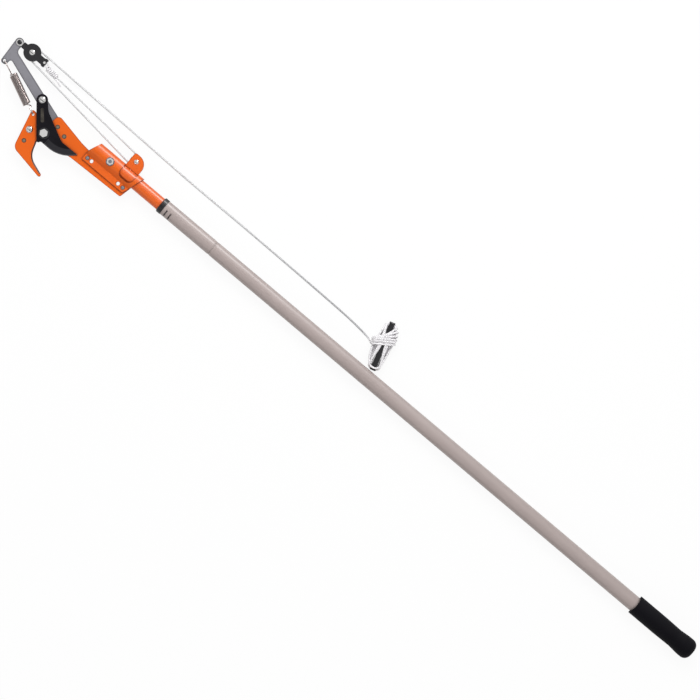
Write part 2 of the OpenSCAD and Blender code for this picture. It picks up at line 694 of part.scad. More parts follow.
// Hook: two plates riveted face to face, with a ground edge round the throat
throat_sides = [for (i = [-1:1]) flat(hook_outline[throat_corner + i])];
throat_r = hook_outline[throat_corner][2];
throat_centre = corner_centre(throat_sides[0], throat_sides[1], throat_sides[2], throat_r);
throat_arc = corner(throat_sides[0], throat_sides[1], throat_sides[2], throat_r);
throat_end = len(throat_arc) - 1;
throat_line = concat(
  [throat_arc[0] + 0.88 * (throat_sides[0] - throat_arc[0])], throat_arc,
  [throat_arc[throat_end] + 0.7 * (throat_sides[2] - throat_arc[throat_end])]
);
throat_bevel = 2.2;
throat_bevel_deep = 1.6;
module throat_grind() {
  rise = throat_bevel_deep / throat_bevel;
  e = len(throat_line) - 1;
  points = [
    for (i = [0:e], v = [[-1, -throat_bevel_deep - rise], [throat_bevel + 1, rise], [throat_bevel + 1, 2], [-1, 2]])
      in_z(throat_line[i] + v[0] * unit(throat_arc[min(max(i - 1, 0), throat_end)] - throat_centre), plate_t + v[1])
  ];
  walls = [
    for (i = [0:e - 1], k = [0:3], h = [0, 1])
      let (a = i * 4 + k, b = i * 4 + (k + 1) % 4)
      h == 0 ? [a, b, a + 4] : [b, b + 4, a + 4]
  ];
  polyhedron(points, concat(walls, [[0, 2, 1], [0, 3, 2], [e * 4, e * 4 + 1, e * 4 + 2], [e * 4, e * 4 + 2, e * 4 + 3]]));
}
module hook_plate(z0, z1) {
  difference() {
    plate(rounded(hook_outline), z0, z1);
    post(pivot, pivot_r + fit_gap, z0 - 1, z1 + 1);
    post(plate_spring_hole, plate_hole_r, z0 - 1, z1 + 1);
    post(stud_at, stud_r + fit_gap, z0 - 1, z1 + 1);
    for (v = saw_holes_at) post(v, saw_hole_d / 2, z0 - 1, z1 + 1);
    for (v = flange_rivets_at) post(v, flange_rivet_r + fit_gap, z0 - 1, z1 + 1);
    for (v = hook_rivet_at) post(v, hook_rivet_r + rivet_gap, z0 - 1, z1 + 1);
  }
}
module rivet_sink(v, gap) {
  at(v, plate_t - hook_rivet_sink) cylinder(r1 = hook_rivet_r + gap, r2 = hook_rivet_head + gap, h = hook_rivet_sink);
}
module hook_plate_front() {
  color("orangered") on_head() difference() {
    hook_plate(0, plate_t);
    for (v = hook_rivet_at) rivet_sink(v, rivet_gap);
    throat_grind();
  }
}
module hook_plate_back() {
  color("orangered") on_head() difference() {
    hook_plate(-plate_t, 0);
    for (v = hook_rivet_at) mirror([0, 0, 1]) rivet_sink(v, rivet_gap);
  }
}
module hook_rivets() {
  color("gray") on_head() for (v = hook_rivet_at) {
    post(v, hook_rivet_r, -plate_t, plate_t);
    rivet_sink(v, 0);
    mirror([0, 0, 1]) rivet_sink(v, 0);
  }
}
module hook_stud() {
  color("silver") on_head() {
    difference() {
      dome(stud_at, stud_head_r, stud_head_h, plate_t, 1);
      at(stud_at, plate_t + stud_head_h - stud_slot_deep) rotate([0, 0, stud_slot_turn])
        translate([-stud_head_r, -stud_slot / 2, 0]) cube([2 * stud_head_r, stud_slot, stud_head_h]);
    }
    post(stud_at, stud_r, -plate_t - 0.2, plate_t + 0.2);
    dome(stud_at, stud_tail_r, stud_tail_h, -plate_t, -1);
  }
}

// Pivot on which blade and lever arm turn
washer_up = blade_z1 + run_gap;
washer_down = arm_z0 - run_gap;
module pivot_bolt() {
  head_z = washer_up + pivot_washer_t;
  color("silver") on_head() {
    hex(pivot, pivot_hex_r, head_z, head_z + pivot_head_h);
    post(pivot, pivot_r, washer_down - pivot_washer_t - pivot_nut_h - pivot_tail, head_z + 0.5);
  }
}
module pivot_washers() {
  color("dimgray") on_head() {
    ring(pivot, pivot_washer_r, pivot_r + fit_gap, washer_up, washer_up + pivot_washer_t);
    ring(pivot, pivot_washer_r, pivot_r + fit_gap, washer_down - pivot_washer_t, washer_down);
  }
}
module pivot_nut() {
  color("silver") on_head() difference() {
    hex(pivot, pivot_hex_r, washer_down - pivot_washer_t - pivot_nut_h, washer_down - pivot_washer_t);
    post(pivot, pivot_r + fit_gap, 2 * arm_z0 - 10, 0);
  }
}

// Lower sheave behind the ear
axle_z0 = rope_z - sheave_w / 2 - run_gap;
module sheave_axle() {
  color("silver") on_head() {
    dome(lower_axle, axle_head_r, axle_head_h, sheet / 2, 1);
    post(lower_axle, axle_r, axle_z0 - 0.5, sheet / 2 + 0.2);
    post(lower_axle, axle_tail_r, axle_z0 - axle_tail_h, axle_z0);
    ring(lower_axle, axle_tail_r - 1, axle_r - 0.2, rope_z + sheave_w / 2 + run_gap, -sheet / 2);
  }
}
module lower_sheave() {
  color("dimgray") on_head() sheave(lower_axle, lower_r, lower_r + rope_d / 2 + 0.5);
}

// Blade, lever arm and what joins them
module blade() {
  slope = (blade_t - edge_t) / bevel_w;
  slot_len = 20;
  slot_w = 6;
  slot_deep = 0.7;
  slot_mid = tang_top + 27 * tang_dir;
  color("darkslategray") on_head() difference() {
    plate(blade_points, blade_z0, blade_z1);
    post(pivot, pivot_r + shaft_gap, 0, 2 * blade_z1);
    post(tang_top, tang_screw_r + fit_gap, 0, 2 * blade_z1);
    at(bevel_centre, 0) rotate([0, 0, bevel_angle(bevel_start)]) rotate_extrude(angle = 62) polygon([
      [bevel_r - bevel_w, blade_z1], [bevel_r + 2, blade_z0 + edge_t - 2 * slope],
      [bevel_r + 2, blade_z1 + 1], [bevel_r - bevel_w, blade_z1 + 1]
    ]);
    at(slot_mid, blade_z1 - slot_deep) rotate([0, 0, angle_of(tang_dir)]) {
      translate([-slot_len / 2, -slot_w / 2, 0]) cube([slot_len, slot_w, blade_t]);
      for (s = [-1, 1]) translate([s * slot_len / 2, 0, 0]) cylinder(d = slot_w, h = blade_t);
    }
  }
}
module lever_arm() {
  color("slategray") on_head() difference() {
    plate(rounded(arm_outline), arm_z0, arm_z1);
    post(pivot, pivot_r + shaft_gap, 2 * arm_z0, 0);
    post(tang_top, tang_screw_r + fit_gap, 2 * arm_z0, 0);
    post(arm_spring_hole, arm_hole_r, 2 * arm_z0, 0);
    post(link_hole, link_r + fit_gap, 2 * arm_z0, 0);
  }
}
module tang_screw() {
  color("silver") on_head() {
    dome(tang_top, tang_head_r, tang_head_h, blade_z1, 1);
    post(tang_top, tang_screw_r, arm_z0 - tang_nut_h - 0.5, blade_z1 + 0.2);
  }
}
module tang_spacer() {
  color("gray") on_head() ring(tang_top, spacer_r, tang_screw_r + fit_gap, arm_z1, blade_z0);
}
module tang_nut() {
  color("silver") on_head() difference() {
    hex(tang_top, tang_nut_r, arm_z0 - tang_nut_h, arm_z0);
    post(tang_top, tang_screw_r + fit_gap, 2 * arm_z0 - tang_nut_h, 0);
  }
}
eye_z0 = arm_z1 + run_gap;
eye_z1 = eye_z0 + eye_t;
module link_rivet() {
  color("silver") on_head() {
    post(link_hole, link_r, arm_z0 - 0.2, eye_z1 + run_gap + 0.2);
    dome(link_hole, link_head_r, link_head_h, eye_z1 + run_gap, 1);
    dome(link_hole, link_head_r, link_head_h, arm_z0, -1);
  }
}

// Pulley block: two cheeks, an eye at the neck and a becket at the tail
cheek_in = sheave_w / 2 + run_gap;
cheek_out = cheek_in + cheek_t;
neck_half = 5.75;
neck_end = 250;
neck_at = [246.3, upper_axle[1]];
tail_half = 6.5;
tail_flange = 8;
tail_end = 197.5;
tail_neck = 203.5;
module block_cheek(z0, z1) {
  mid = upper_axle[1];
  difference() {
    union() {
      post(upper_axle, cheek_r, z0, z1);
      plate(rounded([[upper_axle[0], mid - neck_half, 0], [neck_end, mid - neck_half, 2],
        [neck_end, mid + neck_half, 2], [upper_axle[0], mid + neck_half, 0]]), z0, z1);
      plate(rounded([[upper_axle[0], mid - tail_half, 0], [upper_axle[0], mid + tail_half, 0],
        [tail_neck, mid + tail_half, 1], [tail_neck - 1.5, mid + tail_flange, 1], [tail_end, mid + tail_flange, 1.5],
        [tail_end, mid - tail_flange, 1.5], [tail_neck - 1.5, mid - tail_flange, 1], [tail_neck, mid - tail_half, 1]]), z0, z1);
    }
    post(upper_axle, axle_r + fit_gap, z0 - 1, z1 + 1);
    post(becket_at, pin_r + fit_gap, z0 - 1, z1 + 1);
    post(neck_at, neck_pin_r + fit_gap, z0 - 1, z1 + 1);
  }
}
module block_cheek_front() {
  color("dimgray") on_head() block_cheek(rope_z + cheek_in, rope_z + cheek_out);
}
module block_cheek_back() {
  color("dimgray") on_head() block_cheek(rope_z - cheek_out, rope_z - cheek_in);
}
module block_eye() {
  color("gainsboro") on_head() difference() {
    union() {
      post(link_hole, eye_r, eye_z0, eye_z1);
      plate(rounded([[link_hole[0], link_hole[1] - eye_tab_w / 2, 0], [link_hole[0], link_hole[1] + eye_tab_w / 2, 0],
        [upper_axle[0] + upper_r + 3.4, link_hole[1] + eye_tab_w / 2, 1],
        [upper_axle[0] + upper_r + 3.4, link_hole[1] - eye_tab_w / 2, 1]]), eye_z0, eye_z1);
    }
    post(link_hole, link_r + shaft_gap, eye_z0 - 1, eye_z1 + 1);
    post(neck_at, neck_pin_r + fit_gap, eye_z0 - 1, eye_z1 + 1);
  }
}
module neck_pin() {
  color("silver") on_head() {
    post(neck_at, neck_pin_r, rope_z - cheek_out, rope_z + cheek_out);
    post(neck_at, neck_spacer_r, rope_z - cheek_in, eye_z0);
  }
}
module block_axle() {
  color("silver") on_head() {
    post(upper_axle, axle_r, rope_z - cheek_out - 0.2, rope_z + cheek_out + 0.2);
    dome(upper_axle, block_axle_head_r, block_axle_head_h, rope_z + cheek_out, 1);
    dome(upper_axle, block_axle_head_r, block_axle_head_h, rope_z - cheek_out, -1);
  }
}
module becket_pin() {
  color("silver") on_head() post(becket_at, pin_r, rope_z - cheek_out, rope_z + cheek_out);
}
module upper_sheave() {
  color("dimgray") on_head() sheave(upper_axle, upper_r, upper_r + rope_d / 2 + 0.5);
}

// Spring, rope and winder
module return_spring() {
  color("silver") on_head() tube(spring_path, wire_d, 6, [0, 1, 0]);
}
module spring_hook() {
  color("silver") on_head() tube(hook_path, wire_d, 6, [0, 1, 0]);
}
module becket_knot() {
  color("white") on_head() tube(knot_path, rope_d, 6, [0, 0, 1]);
}
module becket_fall() {
  color("white") on_head() straight_rope(becket_low, becket_start + fall_start * standing);
}
module lower_wrap() {
  a0 = angle_of(fall_out);
  color("white") on_head() rope_turn(lower_axle, lower_r, a0, a0 + 360 + turn_to(a0, angle_of(becket_out)));
}
module return_fall() {
  color("white") on_head() straight_rope(return_low, return_high);
}
module upper_wrap() {
  a0 = angle_of(lead_out);
  color("white") on_head() rope_turn(upper_axle, upper_r, a0, a0 + turn_to(a0, angle_of(fall_out)));
}
module pull_rope() {
  color("white") on_head() tube(lead_path, rope_d, 8, [0, 0, 1]);
}
module cord_winder() {
  half = winder_len / 2;
  tall = winder_w / 2;
  wide = winder_t / 2;
  n = notch_w / 2;
  floor_w = half - notch_deep;
  waist = rope_d / 2 + 0.2 - wrap_low;
  outline = [
    [half, tall, 2.5], [-half, tall, 2.5], [-half, n, 1.5], [-floor_w, n, 1.5], [-floor_w, -n, 1.5], [-half, -n, 1.5],
    [-half, -tall, 2.5], [-10, -tall, 3], [-3, waist, 3], [18, waist, 3], [25, -tall, 3],
    [half, -tall, 2.5], [half, -n, 1.5], [floor_w, -n, 1.5], [floor_w, n, 1.5], [half, n, 1.5]
  ];
  section = [[wide, tall, 3.5], [-wide, tall, 3.5], [-wide, -tall, 3.5], [wide, -tall, 3.5]];
  color("black") on_head() at(winder_mid, winder_z) rotate([0, 0, angle_of(winder_dir)]) intersection() {
    rotate([90, 0, 0]) plate(rounded(outline), -wide, wide);
    rotate([90, 0, 90]) plate(rounded(section), -half - 1, half + 1);
  }
}
module rope_hank() {
  color("white") on_head() tube(hank_path, rope_d, 6, [0, 1, 0]);
}

outer_pole();
guide_collar();
rubber_grip();
lock_ring();
inner_pole();
lock_core();
lock_pin();
socket_bracket();
bracket_bolt();
bracket_nut();
bracket_washers();
bracket_rivets();
hook_plate_front();
hook_plate_back();
hook_rivets();
hook_stud();
pivot_bolt();
pivot_washers();
pivot_nut();
sheave_axle();
lower_sheave();
blade();
lever_arm();
tang_screw();
tang_spacer();
tang_nut();
link_rivet();
block_cheek_front();
block_cheek_back();
block_eye();
neck_pin();
block_axle();
becket_pin();
upper_sheave();
return_spring();
spring_hook();
becket_knot();
becket_fall();
lower_wrap();
return_fall();
upper_wrap();
pull_rope();
cord_winder();
rope_hank();
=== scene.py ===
import math
import bpy
import numpy as np
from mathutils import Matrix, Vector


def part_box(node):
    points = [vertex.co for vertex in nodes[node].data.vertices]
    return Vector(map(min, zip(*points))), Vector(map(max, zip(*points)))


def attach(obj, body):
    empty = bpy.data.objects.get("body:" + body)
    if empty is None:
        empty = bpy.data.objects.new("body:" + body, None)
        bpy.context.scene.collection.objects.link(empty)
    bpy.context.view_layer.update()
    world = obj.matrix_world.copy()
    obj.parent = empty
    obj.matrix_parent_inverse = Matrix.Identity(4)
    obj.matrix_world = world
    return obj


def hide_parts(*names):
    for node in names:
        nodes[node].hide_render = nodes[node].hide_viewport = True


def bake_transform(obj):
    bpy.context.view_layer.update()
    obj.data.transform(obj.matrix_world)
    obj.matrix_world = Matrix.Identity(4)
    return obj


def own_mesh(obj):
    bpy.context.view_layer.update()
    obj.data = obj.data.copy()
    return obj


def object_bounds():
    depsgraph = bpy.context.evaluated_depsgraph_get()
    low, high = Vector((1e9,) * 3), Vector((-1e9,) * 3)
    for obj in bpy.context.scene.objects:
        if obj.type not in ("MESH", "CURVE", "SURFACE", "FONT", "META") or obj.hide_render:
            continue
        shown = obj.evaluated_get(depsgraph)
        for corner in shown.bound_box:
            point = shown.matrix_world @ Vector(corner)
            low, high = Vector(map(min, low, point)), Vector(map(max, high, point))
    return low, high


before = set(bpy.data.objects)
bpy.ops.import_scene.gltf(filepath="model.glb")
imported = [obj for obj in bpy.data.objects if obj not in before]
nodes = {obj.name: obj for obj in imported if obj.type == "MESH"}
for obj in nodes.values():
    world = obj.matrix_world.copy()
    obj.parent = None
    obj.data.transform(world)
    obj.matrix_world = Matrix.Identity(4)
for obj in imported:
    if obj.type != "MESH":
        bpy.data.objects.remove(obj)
cadBox = [[float(v) for v in corner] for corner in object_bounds()]
mm = 0.001
# the middle of the bracket bolt is the zero of the head's own sizes
headX = sum(corner[0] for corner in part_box("bracket_bolt")) / 2 / mm
print("frame loaded, head datum at", round(headX, 2), "mm")


def unit(v):
    v = np.asarray(v, float)
    return v / np.linalg.norm(v)


def rowPoint(p):
    # head sizes in mm to the row frame in metres
    p = np.atleast_2d(np.asarray(p, float))
    return (p + np.array([headX, 0.0, 0.0])) * mm


def ease(t):
    # smooth step from 0 to 1: three t squared less two t cubed
    t = np.clip(t, 0.0, 1.0)
    return t * t * (3 - 2 * t)


# Camera square above the pole, turned as the photograph is

view = {
    "centre": (0.7996, -0.0186),
    "right": (-0.7643, -0.6449),
    "width": 1.225,
    "distance": 8.0,
    "farthest": 50,
}


def placeCamera():
    data = bpy.data.cameras.new("camera")
    data.sensor_fit = "HORIZONTAL"
    data.angle = 2 * math.atan(view["width"] / 2 / view["distance"])
    data.clip_end = view["farthest"]
    cam = bpy.data.objects.new("camera", data)
    cam.location = (view["centre"][0], view["centre"][1], view["distance"])
    cam.rotation_euler = (0, 0, math.atan2(view["right"][1], view["right"][0]))
    bpy.context.collection.objects.link(cam)
    bpy.context.scene.camera = cam


placeCamera()
print("camera placed")


# Mesh helpers

def newMesh(name, points, faces, uv=None):
    mesh = bpy.data.meshes.new(name)
    mesh.from_pydata(np.asarray(points, float).tolist(), [], [list(map(int, f)) for f in faces])
    mesh.polygons.foreach_set("use_smooth", np.ones(len(mesh.polygons), bool))
    if uv is not None:
        layer = mesh.uv_layers.new(name="UVMap")
        loopVerts = np.empty(len(mesh.loops), np.int32)
        mesh.loops.foreach_get("vertex_index", loopVerts)
        layer.data.foreach_set("uv", np.asarray(uv, np.float32)[loopVerts].ravel())
    mesh.update()
    obj = bpy.data.objects.new(name, mesh)
    bpy.context.collection.objects.link(obj)
    return obj


def smoothPath(points, steps):
    # Catmull-Rom curve through the points, each stretch cut into equal steps
    p = np.asarray(points, float)
    a, b, c, d = (p[np.clip(np.arange(len(p) - 1) + k, 0, len(p) - 1)] for k in (-1, 0, 1, 2))
    t = (np.arange(steps) / steps)[None, :, None]
    a, b, c, d = (q[:, None, :] for q in (a, b, c, d))
    square = 2 * a - 5 * b + 4 * c - d
    cube = 3 * b - a - 3 * c + d
    curve = 0.5 * (2 * b + (c - a) * t + square * t ** 2 + cube * t ** 3)
    return np.vstack([curve.reshape(-1, 3), p[-1:]])


# a direction that no path starts along, to begin the circles from
offAxis = (0.3, 0.5, 0.81)


def tubeAlong(name, path, diameter, sides=12):
    # circle carried along the path without twist; u runs along it in diameters, v once round it
    p = np.asarray(path, float)
    tangent = np.gradient(p, axis=0)
    tangent /= np.linalg.norm(tangent, axis=1)[:, None]
    normal = np.empty_like(p)
    n = np.cross(tangent[0], offAxis)
    for i, t in enumerate(tangent):
        n = unit(n - t * np.dot(n, t))
        normal[i] = n
    side = np.cross(tangent, normal)
    angle = np.linspace(0, 2 * np.pi, sides + 1)[None, :, None]
    circle = np.cos(angle) * normal[:, None, :] + np.sin(angle) * side[:, None, :]
    ring = p[:, None, :] + diameter / 2 * circle
    along = np.concatenate([[0], np.cumsum(np.linalg.norm(np.diff(p, axis=0), axis=1))]) / diameter
    rows, cols = len(p), sides + 1
    index = np.arange(rows * cols).reshape(rows, cols)
    quads = np.stack([index[:-1, :-1], index[:-1, 1:], index[1:, 1:], index[1:, :-1]], -1).reshape(-1, 4)
    uv = np.stack(np.broadcast_arrays(along[:, None], np.linspace(0, 1, cols)[None, :]), -1).reshape(-1, 2)
    faces = [*quads.tolist(), index[0, :-1][::-1].tolist(), index[-1, :-1].tolist()]
    return newMesh(name, ring.reshape(-1, 3), faces, uv)


# Rope: the same route as the solids, in mm from the bracket bolt

rope = {
    "diameter": 3.0,
    "slackWide": 3.4,
    "seat": 0.2,
    "plane": -5.55,
    "lowerAxle": (-34.5, -28.5),
    "lowerRadius": 10.2,
    "upperAxle": (228.5, -58.0),
    "upperRadius": 11.3,
    "turnPoints": 36,
    "becket": (200.5, -58.0),
    "becketRadius": 3.8,
    "leadOut": (-0.012, -1),
    "floor": -18.9,
    "leadSplit": 10,
    "leadSteps": 6,
    "knotSteps": 3,
    "hankSteps": 4,
    "fallPoints": 40,
}
ropeFloor = rope["floor"] + rope["diameter"] / 2
lowerAxle, upperAxle, becket = (np.array(rope[k]) for k in ("lowerAxle", "upperAxle", "becket"))


def inPlane(points):
    p = np.atleast_2d(points)
    return np.column_stack([p, np.full(len(p), rope["plane"])])


def across(v):
    return np.array([-v[1], v[0]])


# common tangent of the two sheaves: its slant is the difference of the radii over their distance
fallDir = unit(upperAxle - lowerAxle)
fallSlant = (rope["upperRadius"] - rope["lowerRadius"]) / np.linalg.norm(upperAxle - lowerAxle)
fallOut = math.sqrt(1 - fallSlant ** 2) * across(fallDir) - fallSlant * fallDir
returnLow = lowerAxle + rope["lowerRadius"] * fallOut
returnHigh = upperAxle + rope["upperRadius"] * fallOut
leadOut = unit(rope["leadOut"])
leadStart = upperAxle + rope["upperRadius"] * leadOut
# tangent from the becket to the lower sheave: its cosine is the radius over the distance
becketStart = becket + (0, rope["becketRadius"])
becketDir = unit(becketStart - lowerAxle)
becketCos = rope["lowerRadius"] / np.linalg.norm(becketStart - lowerAxle)
becketOut = becketCos * becketDir - math.sqrt(1 - becketCos ** 2) * across(becketDir)
becketLow = lowerAxle + rope["lowerRadius"] * becketOut
standing = unit(becketLow - becketStart)
standingSide = across(standing)


def arcPath(centre, radius, a0, a1, count):
    a = np.radians(np.linspace(a0, a1, count))
    return inPlane(np.asarray(centre) + radius * np.stack([np.cos(a), np.sin(a)], -1))


def angleOf(v):
    return math.degrees(math.atan2(v[1], v[0]))


knot = {
    "turns": 6,
    "turnSteps": 12,
    "radius": 3.95,
    "start": 10.0,
    "step": 3.55,
    "ends": 3,
    "inSteps": 4,
    "bight": (60, -90, 6),
    "tail": ((7, 0), (12, 1.5), (17, 3)),
}
knotEnd = knot["start"] + knot["turns"] * knot["step"]
fallStart = knotEnd + knot["ends"]


def knotAt(s, r, a):
    # s along the standing rope, r out from it at angle a
    s, r, a = np.broadcast_arrays(np.asarray(s, float), r, np.radians(a))
    flat = becketStart + s[..., None] * standing - (r * np.cos(a))[..., None] * standingSide
    return np.column_stack([flat.reshape(-1, 2), (rope["plane"] + r * np.sin(a)).ravel()])


def knotPath():
    # down the standing rope, round the pin, back in to it, round it, and the tail
    steps = knot["turnSteps"]
    inward = np.arange(1, knot["inSteps"] + 1) / knot["inSteps"]
    turns = np.arange(1, steps * knot["turns"] + steps // 2 + 1)
    out = 2 * rope["becketRadius"]
    return np.vstack([
        knotAt([fallStart, knotEnd, fallStart / 2, knot["ends"], 0], 0, 0),
        arcPath(becket, rope["becketRadius"], *knot["bight"]),
        knotAt(knot["start"] * inward, -(out + (knot["radius"] - out) * ease(inward)), 0),
        knotAt(knot["start"] + knot["step"] * turns / steps, -knot["radius"], 360 / steps * turns),
        *[knotAt(knotEnd + s, knot["radius"] + r, 0) for s, r in knot["tail"]],
    ])


leadPoints = np.array([
    (*leadStart, rope["plane"]), (212, -69.2, rope["plane"]), (190, -68.7, -6.4), (165, -68.2, -8.6),
    (135, -67.6, -12.2), (105, -67.1, -15.2), (72, -66.5, -17), (35, -65.9, ropeFloor),
    (-10, -65.1, ropeFloor), (-60, -64, ropeFloor), (-115, -62.9, ropeFloor), (-175, -62.7, ropeFloor),
    (-240, -63, ropeFloor), (-310, -62.6, ropeFloor), (-380, -62, ropeFloor), (-445, -61.2, ropeFloor),
    (-495, -60, ropeFloor), (-528, -57.6, ropeFloor),
])


# Rope wound on its winder

hank = {
    "middle": (-571.9, -60.4),
    "along": (26.4, -87.0),
    "length": 91.0,
    "tall": 22.0,
    "thick": 10.0,
    "notch": 10.0,
    "notchGap": 0.3,
    "wide": 3,
    "layers": 2,
    "step": 3.5,
    "runSteps": 6,
    "endRound": 4.6,
    "bows": (0.8, 1.8, 2.8, 3.0, 4.6, 6.1),
    "skew": 0.6,
    "backShare": 0.73,
    "laneLate": (0.6, 0.4),
    "laneEarly": (0.1, 0.5),
    "climb": (0.3, 0.5),
    "ringStep": 10,
    "wrapHalf": 19.2,
    "wrapShift": 0.7,
    "wrapLow": 9.2,
    "wrapAt": 9,
    "wrapTilt": 0.3,
    "wrapStep": 4.4,
    "wrapPower": 0.55,
    "wrapFrom": 150,
    "wrapTo": -380,
    "leanAt": 5.0,
    "leanReach": 42.0,
    "leanOut": 9.0,
    "leanIn": (7.2, 4.0),
    "leanLow": 4.5,
    "leanHigh": (10.6, 12.3),
    "leanOver": (4.5, 13.0),
    "leanEnd": 5,
    "leanArc": (60, -61, -30),
    "leanPoints": 9,
    "coverFrom": 170,
    "coverRight": (38.0, 30.3, 23.5, 17.5, 14.3, 20.5, 27.0, 34.0, 14.3),
    "coverLeft": (7.6, 7.3, 6.5, 5.3, 3.6, 6.0, 7.5, 9.0, 3.6),
    "coverReach": (11.5, 13.5, 15.5, 17.5, 18.6, 19.0, 17.4, 15.4, 19.0),
    "coverLift": (0, 0, 0, 0, 1.2, 2.3, 2.3, 2.3, 0),
    "leaveAlong": (-2.6, 0.2, 4.2),
    "leaveSide": (20.9, 24.2, 30),
    "leaveUp": (-7, -9.2),
    "leadLap": 0.8,
}
hankDir = unit(hank["along"])
hankSide = across(hankDir)
hankTurns = hank["wide"] * hank["layers"]
hankZ = rope["floor"] + hank["tall"] / 2
runHalf = hank["length"] / 2 - hank["notch"] + hank["notchGap"]
ringTop = hank["tall"] / 2 + rope["diameter"] / 2 + rope["seat"]
ringHalf = (ringTop + hank["wrapLow"]) / 2


def hankAt(w, s, z):
    # w along the winder, s across it, z up from its middle
    w, s, z = np.broadcast_arrays(*(np.asarray(v, float) for v in (w, s, z)))
    flat = np.array(hank["middle"]) + w.reshape(-1, 1) * hankDir + s.reshape(-1, 1) * hankSide
    return np.column_stack([flat, hankZ + z.ravel()])


def layerOf(turn):
    return min(hank["layers"] - 1, turn // hank["wide"])


def layerOut(layer):
    return hank["thick"] / 2 + rope["diameter"] / 2 + rope["seat"] + layer * hank["step"]


def laneOf(turn):
    # lanes count down in the lower layer and up again in the next
    way = 1 if layerOf(turn) % 2 == 0 else -1
    return hank["step"] * way * ((hank["wide"] - 1) / 2 - turn % hank["wide"])


def bowAt(w, skew):
    # a parabola that stands out in the middle, leaning to one end by the skew
    return (1 - (w / runHalf) ** 2) * (1 - skew * w / runHalf)


def runUp(turn):
    w = runHalf * (2 * np.arange(hank["runSteps"]) / hank["runSteps"] - 1)
    out = layerOut(layerOf(turn)) + hank["bows"][turn] * bowAt(w, hank["skew"])
    return hankAt(w, out, laneOf(turn))


def endTurn(end, turn):
    a = np.radians(180 - 90 * end - 180 / hank["runSteps"] * np.arange(hank["runSteps"]))
    layer = layerOf(turn)
    w = end * runHalf + (hank["endRound"] + layer * hank["step"]) * np.cos(a)
    return hankAt(w, layerOut(layer) * np.sin(a), laneOf(turn))


def easeOver(t, stretch):
    start, reach = stretch
    return ease((t - start) / reach)


def runDown(turn):
    # the lower layer changes lane late, the upper early, and the turn between climbs in the middle
    after = min(turn + 1, hankTurns - 1)
    t = np.arange(hank["runSteps"]) / hank["runSteps"]
    w = runHalf * (1 - 2 * t)
    bow = hank["bows"][turn] + (hank["bows"][after] - hank["bows"][turn]) * ease(2 * t)
    h0, h1 = layerOut(layerOf(turn)), layerOut(layerOf(after))
    share = easeOver(t, hank["laneLate"] if turn < hank["wide"] else hank["laneEarly"])
    out = h0 + (h1 - h0) * easeOver(t, hank["climb"]) + hank["backShare"] * bow * bowAt(w, -hank["skew"])
    return hankAt(w, -out, laneOf(turn) + (laneOf(after) - laneOf(turn)) * share)


def squared(x):
    # a sine or cosine pushed out towards a square's corner
    return np.sign(x) * np.abs(x) ** hank["wrapPower"]


def wrapPath():
    # slanting, squarish ring round all the turns
    a = np.arange(hank["wrapFrom"], hank["wrapTo"] - 1, -hank["ringStep"]).astype(float)
    s = hank["wrapShift"] + hank["wrapHalf"] * squared(np.cos(np.radians(a)))
    w = hank["wrapAt"] - hank["wrapTilt"] * s - hank["wrapStep"] * (hank["wrapFrom"] - a) / 360
    return hankAt(w, s, ringTop - ringHalf + ringHalf * squared(np.sin(np.radians(a))))


def leanTurn(k):
    # a turn whose runs climb on to the rail's edges where the ring pulls them in
    w = runHalf * np.linspace(1, -1, hank["leanPoints"])
    near = ease(1 - np.abs(w - hank["leanAt"]) / hank["leanReach"])
    out = hank["leanOut"] + (hank["leanIn"][k] - hank["leanOut"]) * near
    up = hank["leanLow"] + (hank["leanHigh"][k] - hank["leanLow"]) * near
    a = np.radians(np.arange(*hank["leanArc"]))
    end = runHalf + hank["leanEnd"] * np.cos(a)
    side = hank["leanOut"] * np.sin(a)
    over = hank["leanLow"] + (hank["leanOver"][k] - hank["leanLow"]) * np.cos(a) ** 2
    return np.vstack([
        hankAt(w, -out, up),
        hankAt(-end, side[::-1], over),
        hankAt(w[::-1], out[::-1], up[::-1]),
        hankAt(end, side, hank["leanLow"]),
    ])


def coverPath():
    # fuller than the solids: slanting turns fan out below the ring and cross the winder's rail side by side
    count = len(hank["coverRight"]) - 1
    a = np.arange(hank["coverFrom"], hank["wrapFrom"] - 360 * count, -hank["ringStep"]).astype(float)
    c = squared(np.cos(np.radians(a)))
    turn = (90 - a) / 360
    tables = (hank["cover" + k] for k in ("Right", "Left", "Reach", "Lift"))
    right, left, reach, lift = (np.interp(turn, range(count + 1), table) for table in tables)
    s = hank["wrapShift"] + np.where(c < 0, reach, hank["wrapHalf"] + lift) * c
    up = squared(np.sin(np.radians(a)))
    z = ringTop - ringHalf + np.where(up > 0, ringHalf + lift, ringHalf) * up
    return hankAt(left + (right - left) * (1 - c) / 2, s, z)


def hankPath():
    last = hankTurns - 1
    turns = [np.vstack([runUp(t), endTurn(1, t), runDown(t), endTurn(-1, t + 1)]) for t in range(last)]
    leaveUp = (*hank["leaveUp"], (rope["diameter"] - hank["tall"]) / 2)
    return np.vstack([
        *turns,
        runUp(last),
        endTurn(1, last),
        *map(leanTurn, range(len(hank["leanIn"]))),
        coverPath(),
        wrapPath(),
        hankAt(hank["leaveAlong"], hank["leaveSide"], leaveUp),
        leadPoints[-1:],
        leadPoints[-1:] + hank["leadLap"] * unit(leadPoints[-2] - leadPoints[-1]),
    ])


# Pieces of rope

def lengthOf(path):
    return float(np.linalg.norm(np.diff(path, axis=0), axis=1).sum())


def ropePiece(name, pathMm, node, diameter=rope["diameter"]):
    path = rowPoint(pathMm)
    obj = tubeAlong(name, path, diameter * mm)
    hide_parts(node)
    return obj, path


def straight(a, b):
    return inPlane(np.linspace(a, b, rope["fallPoints"]))


def sheaveTurn(axle, radius, a0, a1):
    return arcPath(axle, radius, a0, a1, rope["turnPoints"])


